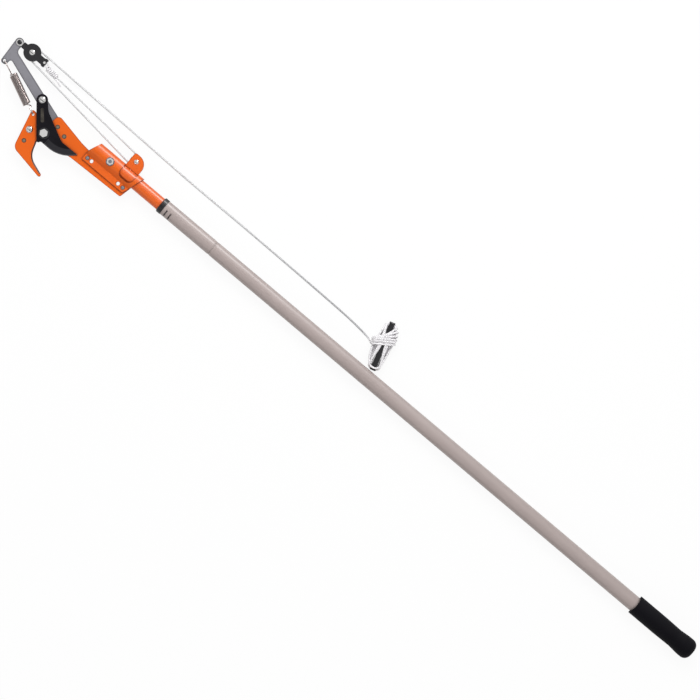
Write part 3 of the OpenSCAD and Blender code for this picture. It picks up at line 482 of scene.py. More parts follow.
leadPath = smoothPath(leadPoints, rope["leadSteps"])
split = rope["leadSplit"] * rope["leadSteps"]
becketEnd = becketStart + fallStart * standing
lowerRun = sheaveTurn(lowerAxle, rope["lowerRadius"], angleOf(fallOut), angleOf(becketOut) + 360)
upperRun = sheaveTurn(upperAxle, rope["upperRadius"], angleOf(leadOut), angleOf(fallOut))
slackWide = rope["slackWide"]
leadHead, leadHeadPath = ropePiece("leadRopeHead", leadPath[:split + 1], "pull_rope", slackWide)
leadTail, leadTailPath = ropePiece("leadRopeTail", leadPath[split:], "pull_rope", slackWide)
becketFall, becketFallPath = ropePiece("becketFallRope", straight(becketLow, becketEnd), "becket_fall")
returnFall, returnFallPath = ropePiece("returnFallRope", straight(returnLow, returnHigh), "return_fall")
lowerTurn, lowerTurnPath = ropePiece("lowerTurnRope", lowerRun, "lower_wrap")
upperTurn, upperTurnPath = ropePiece("upperTurnRope", upperRun, "upper_wrap")
knotRope, knotRopePath = ropePiece("becketKnotRope", smoothPath(knotPath(), rope["knotSteps"]), "becket_knot")
hankCurve = smoothPath(hankPath(), rope["hankSteps"])
hankRope, hankRopePath = ropePiece("woundRope", hankCurve, "rope_hank", slackWide)
ropePaths = (leadHeadPath, leadTailPath, becketFallPath, returnFallPath,
             lowerTurnPath, upperTurnPath, knotRopePath, hankRopePath)
print("rope in all", round(sum(map(lengthOf, ropePaths)), 2), "m")


# Closed blade: where the block's rope ends go, for the falls that shorten

closing = {"pivot": (121.0, 37.0), "link": (257.0, -57.5), "swing": -70.0, "blockTurn": 35.79}


def turned(p, centre, degrees):
    a = math.radians(degrees)
    x, y = np.asarray(p, float) - centre
    moved = (x * math.cos(a) - y * math.sin(a), x * math.sin(a) + y * math.cos(a))
    return np.asarray(centre, float) + moved


def closedPlace(p):
    link = turned(closing["link"], closing["pivot"], closing["swing"])
    return turned(turned(p, closing["pivot"], closing["swing"]), link, closing["blockTurn"])


def shortenFall(obj, anchor, blockEnd):
    # share of the fall kept when the blade closes: one less the block end's move over the fall's length along
    # that move; the fall is hung on the head body
    anchor, blockEnd = np.asarray(anchor, float)[:2], np.asarray(blockEnd, float)[:2]
    move = closedPlace(blockEnd) - blockEnd
    axis = unit(move)
    keep = 1 - np.linalg.norm(move) / abs(np.dot(blockEnd - anchor, axis))
    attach(obj, "head")
    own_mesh(obj)
    return keep


keeps = [
    shortenFall(leadHead, leadPath[split], leadStart),
    shortenFall(becketFall, becketLow, becketEnd),
    shortenFall(returnFall, returnLow, returnHigh),
]
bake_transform(leadTail)
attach(lowerTurn, "head")
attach(upperTurn, "block")
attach(knotRope, "block")
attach(hankRope, "handle")


print("ropes laid, falls keep", [round(float(k), 3) for k in keeps])


# Return spring and its long hook

spring = {
    "plateHole": (157.0, 24.0),
    "armHole": (257.0, -16.0),
    "wire": 2.05,
    "wireSides": 8,
    "outside": 15.0,
    "drift": (0, 1.1, -1.95, 0),
    "coils": 27,
    "turnSteps": 24,
    "coilStart": 21.0,
    "coilLength": 57.0,
    "coilClose": 3.6,
    "closeSteps": 12,
    "stretchEnd": 3,
    "bend": 2.0,
    "bendPoints": 9,
    "seat": 0.15,
    "plateHoleRadius": 2.2,
    "armHoleRadius": 2.6,
    "plateFace": 3.0,
    "legLift": 0.3,
    "leadStart": 10,
    "leadEnd": 13.0,
    "leadDrop": 0.8,
    "leadSteps": 5,
    "leadStep": 1.4,
    "leadTurn": 18,
    "leadSmooth": 3,
    "armTop": -3.3,
    "armBack": -7.8,
}
springLine = unit(np.subtract(spring["armHole"], spring["plateHole"]))
springReach = float(np.linalg.norm(np.subtract(spring["armHole"], spring["plateHole"])))
wireSeat = spring["wire"] / 2 + spring["seat"]
coilRadius = (spring["outside"] - spring["wire"]) / 2
coilEnd = spring["coilStart"] + spring["coilLength"]
closeEnd = coilEnd + spring["coilClose"]
plateLeg = spring["plateHoleRadius"] - wireSeat
armLeg = springReach - spring["armHoleRadius"] + wireSeat
legTop = spring["plateFace"] + wireSeat + spring["legLift"]


def springAt(s, side, z):
    # s from the plate's hole towards the arm's, side across that line
    s, side, z = np.broadcast_arrays(*(np.asarray(v, float) for v in (s, side, z)))
    flat = np.array(spring["plateHole"]) + s.reshape(-1, 1) * springLine
    return np.column_stack([flat + side.reshape(-1, 1) * across(springLine), z.ravel()])


def coilAt(s, r, degrees):
    # the coil stands a little askew between its two hooks
    a = np.radians(degrees)
    drift = np.interp(s, (spring["leadEnd"], spring["coilStart"], coilEnd, closeEnd), spring["drift"])
    return springAt(s, drift + r * np.sin(a), r * np.cos(a))


def hookArc(s, z, a0, a1):
    a = np.radians(np.linspace(a0, a1, spring["bendPoints"]))
    return springAt(s + spring["bend"] * np.cos(a), 0, z + spring["bend"] * np.sin(a))


def springLead():
    # the wire drops from the plate's face and widens into the first coil
    out = np.arange(1, spring["leadSteps"] + 1)
    low = legTop * spring["leadDrop"]
    radius = low + (coilRadius - low) * ease(out / spring["leadSteps"])
    return np.vstack([
        springAt([spring["leadStart"], spring["leadEnd"]], 0, [legTop, low]),
        coilAt(spring["leadEnd"] + out * spring["leadStep"], radius, -90 + out * spring["leadTurn"]),
    ])


def springPath():
    steps = spring["turnSteps"]
    turn = np.arange(1, steps * spring["coils"] + 1)
    along = spring["coilStart"] + spring["coilLength"] * turn / (steps * spring["coils"])
    close = np.arange(1, spring["closeSteps"] + 1) / spring["closeSteps"]
    return np.vstack([
        springAt(plateLeg, 0, [-spring["plateFace"] - 2 * spring["wire"], 0]),
        hookArc(plateLeg + spring["bend"], legTop - spring["bend"], 180, 90),
        smoothPath(springLead(), spring["leadSmooth"]),
        coilAt(along, coilRadius, 360 / steps * turn),
        coilAt(coilEnd + close * spring["coilClose"], coilRadius * (1 - ease(close)), 180 * close),
        springAt(closeEnd + spring["wire"], 0, 0),
    ])


def springHookPath():
    return np.vstack([
        springAt([closeEnd + spring["wire"], (coilEnd + springReach) / 2], 0, 0),
        hookArc(armLeg - spring["bend"], -spring["bend"], 90, 0),
        springAt(armLeg, 0, [spring["armTop"], spring["armBack"] - spring["wire"]]),
    ])


def springPiece(name, pathMm, node):
    obj = tubeAlong(name, rowPoint(pathMm), spring["wire"] * mm, spring["wireSides"])
    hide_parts(node)
    return obj


springCoil = springPiece("returnSpringCoil", springPath(), "return_spring")
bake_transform(springCoil)
springHook = springPiece("returnSpringHook", springHookPath(), "spring_hook")
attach(springHook, "spring_end")
print("spring wound")


# Shader node helpers

def addNode(tree, kind, **settings):
    node = tree.nodes.new(kind)
    for key, value in settings.items():
        setattr(node, key, value)
    return node


def feed(tree, value, socket):
    # a link where the value is another node's output, else the number itself
    if hasattr(value, "is_linked"):
        tree.links.new(value, socket)
    else:
        socket.default_value = value


def mathNode(tree, operation, a, b=None, clamp=False):
    node = addNode(tree, "ShaderNodeMath", operation=operation, use_clamp=clamp)
    feed(tree, a, node.inputs[0])
    if b is not None:
        feed(tree, b, node.inputs[1])
    return node.outputs[0]


def product(tree, first, *others):
    for value in others:
        first = mathNode(tree, "MULTIPLY", first, value)
    return first


def scaled(tree, value, gain, offset):
    return mathNode(tree, "ADD", product(tree, value, gain), offset)


def distance(tree, a, b):
    # root of the sum of the two squares
    return mathNode(tree, "SQRT", mathNode(tree, "ADD", product(tree, a, a), product(tree, b, b)))


def between(tree, value, low, high):
    above = mathNode(tree, "GREATER_THAN", value, low)
    return product(tree, above, mathNode(tree, "LESS_THAN", value, high))


def within(tree, value, centre, half):
    away = mathNode(tree, "ABSOLUTE", mathNode(tree, "SUBTRACT", value, centre))
    return mathNode(tree, "LESS_THAN", away, half)


def splitXYZ(tree, vector):
    node = addNode(tree, "ShaderNodeSeparateXYZ")
    tree.links.new(vector, node.inputs[0])
    return node.outputs["X"], node.outputs["Y"], node.outputs["Z"]


def mixColour(tree, factor, a, b):
    # sockets 6 and 7 of the mix node are its two colours
    node = addNode(tree, "ShaderNodeMix", data_type="RGBA")
    feed(tree, factor, node.inputs[0])
    for slot, colour in ((6, a), (7, b)):
        feed(tree, (*colour, 1) if isinstance(colour, tuple) else colour, node.inputs[slot])
    return node.outputs[2]


def noiseOf(tree, vector, scale, detail=3.0, rough=0.55):
    node = addNode(tree, "ShaderNodeTexNoise")
    tree.links.new(vector, node.inputs["Vector"])
    feed(tree, scale, node.inputs["Scale"])
    node.inputs["Detail"].default_value = detail
    node.inputs["Roughness"].default_value = rough
    return node.outputs["Fac"]


def ramp(tree, value, low, high):
    # 0 at low, 1 at high, held beyond them
    node = addNode(tree, "ShaderNodeMapRange", clamp=True)
    tree.links.new(value, node.inputs["Value"])
    node.inputs["From Min"].default_value = low
    node.inputs["From Max"].default_value = high
    return node.outputs["Result"]


def toned(colour, share):
    return tuple(c * share for c in colour)


# Shader groups

def newGroup(name, outputs, vector=True, **numbers):
    # a group's inputs are the place, if asked for, and numbers with their defaults
    group = bpy.data.node_groups.new(name, "ShaderNodeTree")
    if vector:
        group.interface.new_socket("Vector", in_out="INPUT", socket_type="NodeSocketVector")
    for label, value in numbers.items():
        socket = group.interface.new_socket(label, in_out="INPUT", socket_type="NodeSocketFloat")
        socket.default_value = value
    for label in outputs:
        group.interface.new_socket(label, in_out="OUTPUT", socket_type="NodeSocketFloat")
    return group, group.nodes.new("NodeGroupInput").outputs, group.nodes.new("NodeGroupOutput").inputs


def makeGrain():
    # fine even grain with a broad cloudiness over it
    look = {"cloudScale": 14.0, "cloud": (0.3, 0.7)}
    group, given, out = newGroup("surfaceGrain", ("Height", "Cloud"), Scale=900.0)
    group.links.new(noiseOf(group, given["Vector"], given["Scale"], 2.0), out["Height"])
    cloud = noiseOf(group, given["Vector"], look["cloudScale"])
    group.links.new(ramp(group, cloud, *look["cloud"]), out["Cloud"])
    return group


def makeScratches():
    # long thin scratches: noise drawn out along one direction and cut to its crests
    look = {"turn": 0.5, "stretch": (30, 900, 900), "detail": 4.0, "rough": 0.7, "crest": (0.6, 0.72)}
    group, given, out = newGroup("fineScratches", ("Mask",), Amount=0.5)
    mapping = addNode(group, "ShaderNodeMapping")
    mapping.inputs["Rotation"].default_value = (0, 0, look["turn"])
    mapping.inputs["Scale"].default_value = look["stretch"]
    group.links.new(given["Vector"], mapping.inputs["Vector"])
    drawn = noiseOf(group, mapping.outputs["Vector"], 1.0, look["detail"], look["rough"])
    group.links.new(product(group, ramp(group, drawn, *look["crest"]), given["Amount"]), out["Mask"])
    return group


def makeScuffs():
    # sparse rubbed spots where two noises peak together
    look = {"broad": 45.0, "broadCut": (0.58, 0.7), "fine": 620.0, "fineCut": (0.5, 0.66)}
    group, given, out = newGroup("paintScuffs", ("Mask",), Amount=0.4)
    broad = ramp(group, noiseOf(group, given["Vector"], look["broad"], 2.0), *look["broadCut"])
    fine = ramp(group, noiseOf(group, given["Vector"], look["fine"]), *look["fineCut"])
    group.links.new(product(group, broad, fine, given["Amount"]), out["Mask"])
    return group


def closeBy(name, reach, look, **settings):
    # mask from how much stands within reach of the surface, broken up by noise
    group, given, out = newGroup(name, ("Mask",), Distance=reach, Amount=0.5)
    rays = addNode(group, "ShaderNodeAmbientOcclusion", samples=look["rays"], **settings)
    group.links.new(given["Distance"], rays.inputs["Distance"])
    hidden = ramp(group, mathNode(group, "SUBTRACT", 1.0, rays.outputs["AO"]), *look["cut"])
    broken = scaled(group, noiseOf(group, given["Vector"], look["noise"], 2.0), look["gain"], look["least"])
    mask = mathNode(group, "MULTIPLY", hidden, broken, clamp=True)
    group.links.new(product(group, mask, given["Amount"]), out["Mask"])
    return group


def makeCornerShade():
    # painted shade, darker where other surfaces stand close by
    look = {"rays": 8, "cut": (0.08, 0.6), "noise": 260.0, "gain": 0.6, "least": 0.6}
    return closeBy("paintedCornerShade", 0.004, look)


def makeEdgeWearAndShade():
    # convex edges, darkened partly for wear and partly as painted shade: short rays cast inwards meet the
    # next face only beside an edge
    look = {"rays": 8, "cut": (0.1, 0.45), "noise": 320.0, "gain": 0.8, "least": 0.5}
    return closeBy("edgeWearAndShade", 0.0008, look, inside=True, only_local=True)


def makeBraid():
    # braided rope: two sets of strands wound opposite ways round the tube's own UV map, with painted shade in
    # the grooves between them
    look = {"crown": (-0.4, 1.0)}
    group, given, out = newGroup("ropeBraid", ("Height", "GrooveShade"), vector=False, Strands=4.0, Pitch=1.3)
    u, v = splitXYZ(group, addNode(group, "ShaderNodeTexCoord").outputs["UV"])[:2]
    along = product(group, u, given["Pitch"])
    around = product(group, v, given["Strands"])
    left, right = (
        mathNode(group, "SINE", product(group, mathNode(group, way, along, around), math.tau))
        for way in ("ADD", "SUBTRACT")
    )
    height = ramp(group, mathNode(group, "MAXIMUM", left, right), *look["crown"])
    group.links.new(height, out["Height"])
    group.links.new(mathNode(group, "SUBTRACT", 1.0, height), out["GrooveShade"])
    return group


grainGroup, scratchGroup, scuffGroup = makeGrain(), makeScratches(), makeScuffs()
cornerShadeGroup, edgeWearShadeGroup, braidGroup = makeCornerShade(), makeEdgeWearAndShade(), makeBraid()


# Finishes

class Finish:
    # one material with its Principled shader, ready for links
    def __init__(self, name, roughness, metallic=0.0, coat=0.0, coatRoughness=0.1, specular=0.5):
        self.material = bpy.data.materials.new(name)
        self.material.use_nodes = True
        self.tree = self.material.node_tree
        self.shader = self.tree.nodes["Principled BSDF"]
        self.shader.inputs["Roughness"].default_value = roughness
        self.shader.inputs["Metallic"].default_value = metallic
        self.shader.inputs["Coat Weight"].default_value = coat
        self.shader.inputs["Coat Roughness"].default_value = coatRoughness
        self.shader.inputs["Specular IOR Level"].default_value = specular
        self.place = addNode(self.tree, "ShaderNodeTexCoord").outputs["Object"]

    def group(self, group, vector=True, **values):
        node = addNode(self.tree, "ShaderNodeGroup", node_tree=group)
        if vector:
            self.tree.links.new(self.place, node.inputs["Vector"])
        for key, value in values.items():
            node.inputs[key].default_value = value
        return node.outputs

    def normal(self):
        return splitXYZ(self.tree, addNode(self.tree, "ShaderNodeTexCoord").outputs["Normal"])

    def link(self, value, socket):
        self.tree.links.new(value, self.shader.inputs[socket])

    def bump(self, height, strength, depth):
        node = addNode(self.tree, "ShaderNodeBump")
        node.inputs["Strength"].default_value = strength
        node.inputs["Distance"].default_value = depth
        self.tree.links.new(height, node.inputs["Height"])
        self.link(node.outputs["Normal"], "Normal")


enamelLook = {
    "coatRoughness": 0.42,
    "specular": 0.2,
    "grain": 420.0,
    "peelDepth": 0.00003,
    "cloud": 0.03,
    "edge": 0.8,
    "edgeWearShadeTone": 0.25,
    "shadeReach": 0.005,
    "shadeTone": 0.12,
}


def enamel(name, colour, worn, roughness, coat, peel=0.1, scuffs=0.3, edges=None, shade=0.75):
    # clouded paint, darker along its edges from wear and painted shade, rubbed in spots, with painted shade
    # in its corners
    look = enamelLook
    f = Finish(name, roughness, coat=coat, coatRoughness=look["coatRoughness"], specular=look["specular"])
    t = f.tree
    grain = f.group(grainGroup, Scale=look["grain"])
    rubbed = f.group(scuffGroup, Amount=scuffs)["Mask"]
    paint = mixColour(t, grain["Cloud"], toned(colour, 1 - look["cloud"]), toned(colour, 1 + look["cloud"]))
    if edges:
        # edges darkened: part wear, part painted shade
        edge = f.group(edgeWearShadeGroup, Distance=edges, Amount=look["edge"])["Mask"]
        paint = mixColour(t, edge, paint, toned(worn, look["edgeWearShadeTone"]))
    # painted shade: the colour darkens where other surfaces stand close by
    cornerShade = f.group(cornerShadeGroup, Distance=look["shadeReach"], Amount=shade)["Mask"]
    f.colour = mixColour(t, cornerShade, mixColour(t, rubbed, paint, worn), toned(colour, look["shadeTone"]))
    f.link(f.colour, "Base Color")
    f.bump(grain["Height"], peel, look["peelDepth"])
    return f


steelLook = {
    "grain": 700.0,
    "grainStrength": 0.15,
    "grainDepth": 0.00003,
    "markTone": 0.6,
    "edge": 0.9,
    "edgeWearShadeTone": 0.2,
    "shadeReach": 0.003,
    "cornerShade": 0.8,
    "shadeTone": 0.15,
    "roughGain": 0.12,
    "roughDrop": 0.04,
}


def plainSteel(name, colour, roughness, metallic=1.0, scratch=0.25, cloud=0.1, edges=None):
    # clouded metal with scratches, darker edges from wear and painted shade if asked for, and painted shade
    # in its corners
    look = steelLook
    f = Finish(name, roughness, metallic=metallic)
    t = f.tree
    grain = f.group(grainGroup, Scale=look["grain"])
    marks = f.group(scratchGroup, Amount=scratch)["Mask"]
    metal = mixColour(t, grain["Cloud"], toned(colour, 1 - cloud), colour)
    if edges:
        # edges darkened: part wear, part painted shade
        edge = f.group(edgeWearShadeGroup, Distance=edges, Amount=look["edge"])["Mask"]
        metal = mixColour(t, edge, metal, toned(colour, look["edgeWearShadeTone"]))
    # painted shade: the colour darkens where other surfaces stand close by
    cornerShade = f.group(cornerShadeGroup, Distance=look["shadeReach"], Amount=look["cornerShade"])["Mask"]
    marked = mixColour(t, marks, metal, toned(colour, look["markTone"]))
    f.link(mixColour(t, cornerShade, marked, toned(colour, look["shadeTone"])), "Base Color")
    f.link(scaled(t, grain["Cloud"], look["roughGain"], roughness - look["roughDrop"]), "Roughness")
    f.bump(grain["Height"], look["grainStrength"], look["grainDepth"])
    return f


mouldLook = {"cloudTone": 1.35, "depth": 0.00008}


def moulded(name, colour, roughness, grainScale, relief, specular=0.3):
    # rubber or plastic with the grain of its mould
    f = Finish(name, roughness, specular=specular)
    grain = f.group(grainGroup, Scale=grainScale)
    f.link(mixColour(f.tree, grain["Cloud"], colour, toned(colour, mouldLook["cloudTone"])), "Base Color")
    f.bump(grain["Height"], relief, mouldLook["depth"])
    return f


stripes = {
    "at": (1191.5, 1200.5),
    "half": 1.3,
    "from": 1.0,
    "to": 16.5,
    "poleRadius": 14.0,
    "ink": (0.03, 0.024, 0.024),
    "wear": 900.0,
    "wearCut": (0.28, 0.4),
    "crimp": 1098.0,
    "crimpHalf": 0.9,
    "crimpShare": 0.4,
    "crimpShade": (0.16, 0.14, 0.13),
}


def printStripes(f):
    # two plain reach stripes beside the collar, laid out on the unrolled tube, and painted shade in the crimp
    t = f.tree
    x, y, z = splitXYZ(t, f.place)
    girth = product(t, mathNode(t, "ARCTAN2", y, z), stripes["poleRadius"] * mm)
    rows = [within(t, x, at * mm, stripes["half"] * mm) for at in stripes["at"]]
    span = between(t, girth, stripes["from"] * mm, stripes["to"] * mm)
    left = ramp(t, noiseOf(t, f.place, stripes["wear"], 2.0), *stripes["wearCut"])
    printed = product(t, mathNode(t, "MAXIMUM", *rows), span, left)
    # painted shade in the crimp's groove
    groove = within(t, x, stripes["crimp"] * mm, stripes["crimpHalf"] * mm)
    ground = mixColour(t, product(t, groove, stripes["crimpShare"]), f.colour, stripes["crimpShade"])
    f.link(mixColour(t, printed, ground, stripes["ink"]), "Base Color")


# dark colour painted as shade on the throat's sloping faces
throat = {"slope": (0.5, 0.93), "side": 52.0, "throatShade": (0.035, 0.03, 0.03)}


def shadedThroat(f):
    # painted shade on the sloping faces of the hook's inner edge, on the hook side
    t = f.tree
    slope = between(t, f.normal()[2], *throat["slope"])
    hookSide = mathNode(t, "GREATER_THAN", splitXYZ(t, f.place)[1], throat["side"] * mm)
    f.link(mixColour(t, product(t, slope, hookSide), f.colour, throat["throatShade"]), "Base Color")


# colour and share of the painted shade in the sleeve's seam
seam = {"from": 12.5, "to": 15.5, "steep": (0.55, 0.85), "share": 0.3, "shade": (0.09, 0.014, 0.003)}


def shadedSeam(f):
    # painted shade on the steep far side of the sleeve where it turns down to the flange
    t = f.tree
    band = between(t, splitXYZ(t, f.place)[1], seam["from"] * mm, seam["to"] * mm)
    steep = ramp(t, f.normal()[1], *seam["steep"])
    f.link(mixColour(t, product(t, band, steep, seam["share"]), f.colour, seam["shade"]), "Base Color")


bladeLook = {
    "roughness": 0.36,
    "specular": 0.1,
    "grain": 800.0,
    "grainStrength": 0.2,
    "grainDepth": 0.00004,
    "black": ((0.006, 0.0053, 0.0075), (0.012, 0.011, 0.015)),
    "scratches": 0.35,
    "scratched": (0.05, 0.049, 0.055),
    "bevelCentre": (99.0, -6.0),
    "bevelInner": 46.0,
    "bevelSoft": 0.6,
    "bevelStart": 109.0,
    "bevelSide": 20.0,
    "bevel": (0.03, 0.029, 0.034),
    "edgeFrom": 55.9,
    "edgeTo": 56.7,
    "edge": (0.13, 0.13, 0.135),
    "edgeMetal": 0.8,
    "recess": (142.6, 13.8),
    "recessReach": 15.0,
    "recessFloor": 7.1,
    "recessSlack": 0.2,
    "recessNoise": 60.0,
    "recessCut": (0.1, 0.7),
    "recessBare": (0.095, 0.085, 0.07),
}


def bladeCoating():
    # black coating, paler along the ground bevel and its edge, rubbed in the tang's recess
    look = bladeLook
    f = Finish("bladeCoating", look["roughness"], specular=look["specular"])
    t = f.tree
    grain = f.group(grainGroup, Scale=look["grain"])
    marks = f.group(scratchGroup, Amount=look["scratches"])["Mask"]
    x, y, z = splitXYZ(t, f.place)

    def awayFrom(centre):
        dx = mathNode(t, "SUBTRACT", x, (headX + centre[0]) * mm)
        return distance(t, dx, mathNode(t, "SUBTRACT", y, centre[1] * mm))

    radius = awayFrom(look["bevelCentre"])
    before = mathNode(t, "LESS_THAN", x, (headX + look["bevelStart"]) * mm)
    zone = product(t, before, mathNode(t, "GREATER_THAN", y, look["bevelSide"] * mm))
    inner = look["bevelInner"] * mm
    ground = product(t, zone, ramp(t, radius, inner, inner + look["bevelSoft"] * mm))
    edge = product(t, zone, ramp(t, radius, look["edgeFrom"] * mm, look["edgeTo"] * mm))
    coat = mixColour(t, marks, mixColour(t, grain["Cloud"], *look["black"]), look["scratched"])
    bevel = mixColour(t, ground, coat, look["bevel"])
    near = mathNode(t, "LESS_THAN", awayFrom(look["recess"]), look["recessReach"] * mm)
    deep = within(t, z, look["recessFloor"] * mm, look["recessSlack"] * mm)
    patches = ramp(t, noiseOf(t, f.place, look["recessNoise"], 2.0), *look["recessCut"])
    worn = mixColour(t, product(t, patches, near, deep), bevel, look["recessBare"])
    f.link(mixColour(t, edge, worn, look["edge"]), "Base Color")
    f.link(product(t, edge, look["edgeMetal"]), "Metallic")
    f.bump(grain["Height"], look["grainStrength"], look["grainDepth"])
    return f


ropeLook = {
    "roughness": 0.8,
    "specular": 0.2,
    "strands": 4.0,
    "pitch": 1.1,
    "depth": 0.00025,
    "white": (0.93, 0.915, 0.935),
    "shadeGrey": (0.47, 0.47, 0.485),
    "lightShadeGrey": (0.75, 0.75, 0.76),
    "shadeGreyFrom": (-552.0, -530.0),
    "lightShadeFrom": (-450.0, -110.0),
    "cloudShare": 0.5,
    "cloudDirt": (0.5, 0.49, 0.49),
    "grooveShadeTone": (0.42, 0.41, 0.42),
}


def ropeFibre(name, contrast, relief, shadeGrey=True):
    # white where it is wound or tied; where it runs free, greyed as painted shade, darkest near the winder
    # and lighter again towards the head
    look = ropeLook
    f = Finish(name, look["roughness"], specular=look["specular"])
    t = f.tree
    braid = f.group(braidGroup, vector=False, Strands=look["strands"], Pitch=look["pitch"])
    cloud = f.group(grainGroup)["Cloud"]
    free = look["white"]
    if shadeGrey:
        x = splitXYZ(t, f.place)[0]
        stretches = ([(headX + at) * mm for at in look[k]] for k in ("shadeGreyFrom", "lightShadeFrom"))
        greyed, paler = (ramp(t, x, *stretch) for stretch in stretches)
        # painted shade: grey along the free runs, lighter towards the head
        free = mixColour(t, greyed, look["white"], mixColour(t, paler, look["shadeGrey"], look["lightShadeGrey"]))
    clouded = mixColour(t, product(t, cloud, look["cloudShare"] * contrast), free, look["cloudDirt"])
    # painted shade in the braid's grooves
    f.link(mixColour(t, product(t, braid["GrooveShade"], contrast), clouded, look["grooveShadeTone"]), "Base Color")
    f.bump(braid["Height"], relief, look["depth"])
    return f


poleEnamel = enamel("greyEnamel", (0.43, 0.36, 0.343), (0.36, 0.32, 0.31), 0.4, 0.4, peel=0.03, scuffs=0.2)
printStripes(poleEnamel)
orangePaint = (0.8, 0.124, 0.005)
orangeWorn = (0.5, 0.085, 0.012)
orangeEnamel = enamel("orangeEnamel", orangePaint, orangeWorn, 0.38, 0.3, edges=0.0018, shade=0.4)
shadedSeam(orangeEnamel)
hookEnamel = enamel("hookEnamel", orangePaint, orangeWorn, 0.4, 0.1, edges=0.0018)
shadedThroat(hookEnamel)
tubeEnamel = enamel("orangeTubeEnamel", (0.8, 0.125, 0.01), (0.5, 0.09, 0.02), 0.35, 0.5,
                    peel=0.03, scuffs=0.15)
gripRubber = moulded("gripRubber", (0.0045, 0.0042, 0.006), 0.65, 1500.0, 0.3, 0.08)
blackPlastic = moulded("blackPlastic", (0.014, 0.0135, 0.0155), 0.4, 1100.0, 0.2, 0.35)
whitePlastic = moulded("whitePlastic", (0.62, 0.6, 0.55), 0.5, 900.0, 0.2)
zincSteel = plainSteel("zincSteel", (0.78, 0.77, 0.76), 0.13)
springSteel = plainSteel("springSteel", (0.42, 0.36, 0.345), 0.3, scratch=0.1)
armSteel = plainSteel("armSteel", (0.285, 0.28, 0.31), 0.45, metallic=0.3, scratch=0.6,
                      cloud=0.22, edges=0.0035)
rivetSteel = plainSteel("rivetSteel", (0.3, 0.26, 0.2), 0.35, metallic=0.9, edges=0.0012)
platedRivet = plainSteel("platedRivet", (0.4, 0.4, 0.43), 0.3, edges=0.0012)
dullZinc = plainSteel("dullZinc", (0.3, 0.32, 0.36), 0.3)
darkSteel = plainSteel("darkSteel", (0.05, 0.05, 0.054), 0.35, metallic=0.8)
bladeBlack = bladeCoating()
ropeFree = ropeFibre("ropeFibre", 0.2, 0.22)
ropeWound = ropeFibre("woundRopeFibre", 0.1, 0.12)
ropeTied = ropeFibre("tiedRopeFibre", 0.14, 0.15, shadeGrey=False)


def dress(finish, *names):
    for name in names:
        obj = nodes.get(name) or bpy.data.objects[name]
        obj.data.materials.clear()
        obj.data.materials.append(finish.material)


dress(poleEnamel, "outer_pole")
dress(tubeEnamel, "inner_pole")
dress(orangeEnamel, "socket_bracket")
dress(hookEnamel, "hook_plate_front", "hook_plate_back")
dress(gripRubber, "rubber_grip")
dress(blackPlastic, "guide_collar", "block_cheek_front", "block_cheek_back", "cord_winder",
      "upper_sheave", "lower_sheave")
dress(whitePlastic, "lock_ring", "lock_core")
dress(bladeBlack, "blade")
dress(armSteel, "lever_arm", "tang_spacer")
dress(rivetSteel, "hook_rivets")
dress(platedRivet, "bracket_rivets")
dress(darkSteel, "pivot_washers", "link_rivet", "neck_pin")
dress(dullZinc, "bracket_bolt", "bracket_washers", "tang_nut")
dress(zincSteel, "lock_pin", "bracket_nut", "pivot_bolt", "pivot_nut", "sheave_axle",
      "hook_stud", "tang_screw", "block_axle", "becket_pin", "block_eye")
dress(springSteel, "returnSpringCoil", "returnSpringHook")
dress(ropeFree, "leadRopeHead", "leadRopeTail", "becketFallRope", "returnFallRope",
      "lowerTurnRope", "upperTurnRope")
dress(ropeWound, "woundRope")
dress(ropeTied, "becketKnotRope")
print("finishes on")


# Floor, studio light and world

studio = {
    "floorSize": 60.0,
    "floorDrop": 0.0002,
    "floorShade": 0.62,
    "floorRoughness": 0.9,
    "floorSpecular": 0.1,
    "shadow": 0.12,
    "white": 1.05,
    "panels": 0.86,
    "gap": 0.03,
    "gapAt": 0.3,
    "gapHalf": 0.13,
    "gapSoft": 0.1,
    "horizon": 0.36,
    "horizonFrom": 0.72,
}
lamps = {
    "keyBox": {"place": (1.55, -1.4, 2.0), "aim": (0.8, 0, 0), "size": (1.8, 1.2), "power": 32.0},
    "stripBox": {"place": (1.42, -2.2, 0.85), "aim": (1.3, 0, 0), "size": (0.48, 0.42), "power": 55.0},
    "fillBox": {"place": (0.8, 2.4, 1.9), "aim": (0.8, 0, 0), "size": (3.0, 1.5), "power": 3.0},
}


def whiteForCamera(tree, shader, strength, share):
    # the camera and mirrors see plain white, mixed with the lit surface by share
    path = addNode(tree, "ShaderNodeLightPath").outputs
    mirrored = mathNode(tree, "MAXIMUM", path["Is Glossy Ray"], path["Is Transmission Ray"])
    seen = mathNode(tree, "MAXIMUM", path["Is Camera Ray"], mirrored)
    glow = addNode(tree, "ShaderNodeEmission")
    glow.inputs["Strength"].default_value = strength
    mix = addNode(tree, "ShaderNodeMixShader")
    tree.links.new(product(tree, seen, 1 - share), mix.inputs[0])
    tree.links.new(shader, mix.inputs[1])
    tree.links.new(glow.outputs[0], mix.inputs[2])
    return mix.outputs[0]


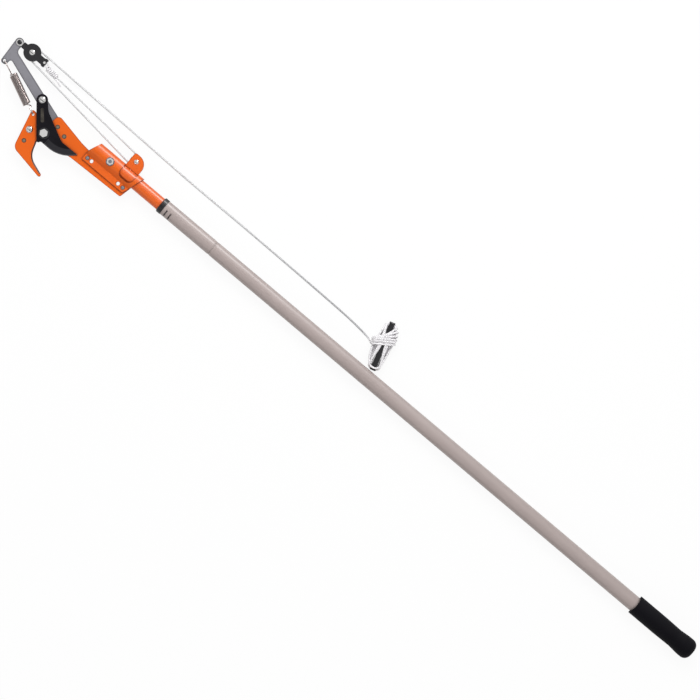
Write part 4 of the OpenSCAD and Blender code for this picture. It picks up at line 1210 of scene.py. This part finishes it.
def makeFloor():
    half = studio["floorSize"] / 2
    low = cadBox[0][2] - studio["floorDrop"]
    cx, cy = view["centre"]
    corners = [(cx + i * half, cy + j * half, low) for i, j in ((-1, -1), (1, -1), (1, 1), (-1, 1))]
    floor = newMesh("studioFloor", corners, [(0, 1, 2, 3)])
    f = Finish("studioFloor", studio["floorRoughness"], specular=studio["floorSpecular"])
    f.shader.inputs["Base Color"].default_value = (*(studio["floorShade"],) * 3, 1)
    surface = whiteForCamera(f.tree, f.shader.outputs[0], studio["white"], studio["shadow"])
    f.tree.links.new(surface, f.tree.nodes["Material Output"].inputs["Surface"])
    floor.data.materials.append(f.material)


def softBox(name):
    lamp = lamps[name]
    data = bpy.data.lights.new(name, "AREA")
    data.shape = "RECTANGLE"
    data.size, data.size_y = lamp["size"]
    data.energy = lamp["power"]
    obj = bpy.data.objects.new(name, data)
    obj.location = lamp["place"]
    x, y, z = np.subtract(lamp["place"], lamp["aim"])
    tilt = math.acos(z / math.hypot(x, y, z))
    obj.rotation_euler = (tilt, 0, math.atan2(y, x) + math.pi / 2)
    bpy.context.collection.objects.link(obj)
    return obj


def lightWorld():
    # pale panels overhead with a dark gap along the pole, dimmer towards the horizon
    world = bpy.data.worlds.new("studio")
    bpy.context.scene.world = world
    world.use_nodes = True
    tree = world.node_tree
    y, z = splitXYZ(tree, addNode(tree, "ShaderNodeTexCoord").outputs["Generated"])[1:]
    lean = mathNode(tree, "DIVIDE", y, distance(tree, y, z))
    beside = mathNode(tree, "ABSOLUTE", mathNode(tree, "SUBTRACT", lean, studio["gapAt"]))
    panels = ramp(tree, beside, studio["gapHalf"], studio["gapHalf"] + studio["gapSoft"])
    low = ramp(tree, mathNode(tree, "ABSOLUTE", lean), studio["horizonFrom"], 1.0)
    overhead = mixColour(tree, panels, (studio["gap"],) * 3, (studio["panels"],) * 3)
    sky = mixColour(tree, low, overhead, (studio["horizon"],) * 3)
    tree.links.new(sky, tree.nodes["Background"].inputs["Color"])


makeFloor()
softBox("keyBox").visible_glossy = False  # lights the colours, the strip alone shows in the gloss
softBox("stripBox").visible_diffuse = False
softBox("fillBox")
lightWorld()
bpy.context.scene.view_settings.view_transform = "Standard"
print("studio lit")
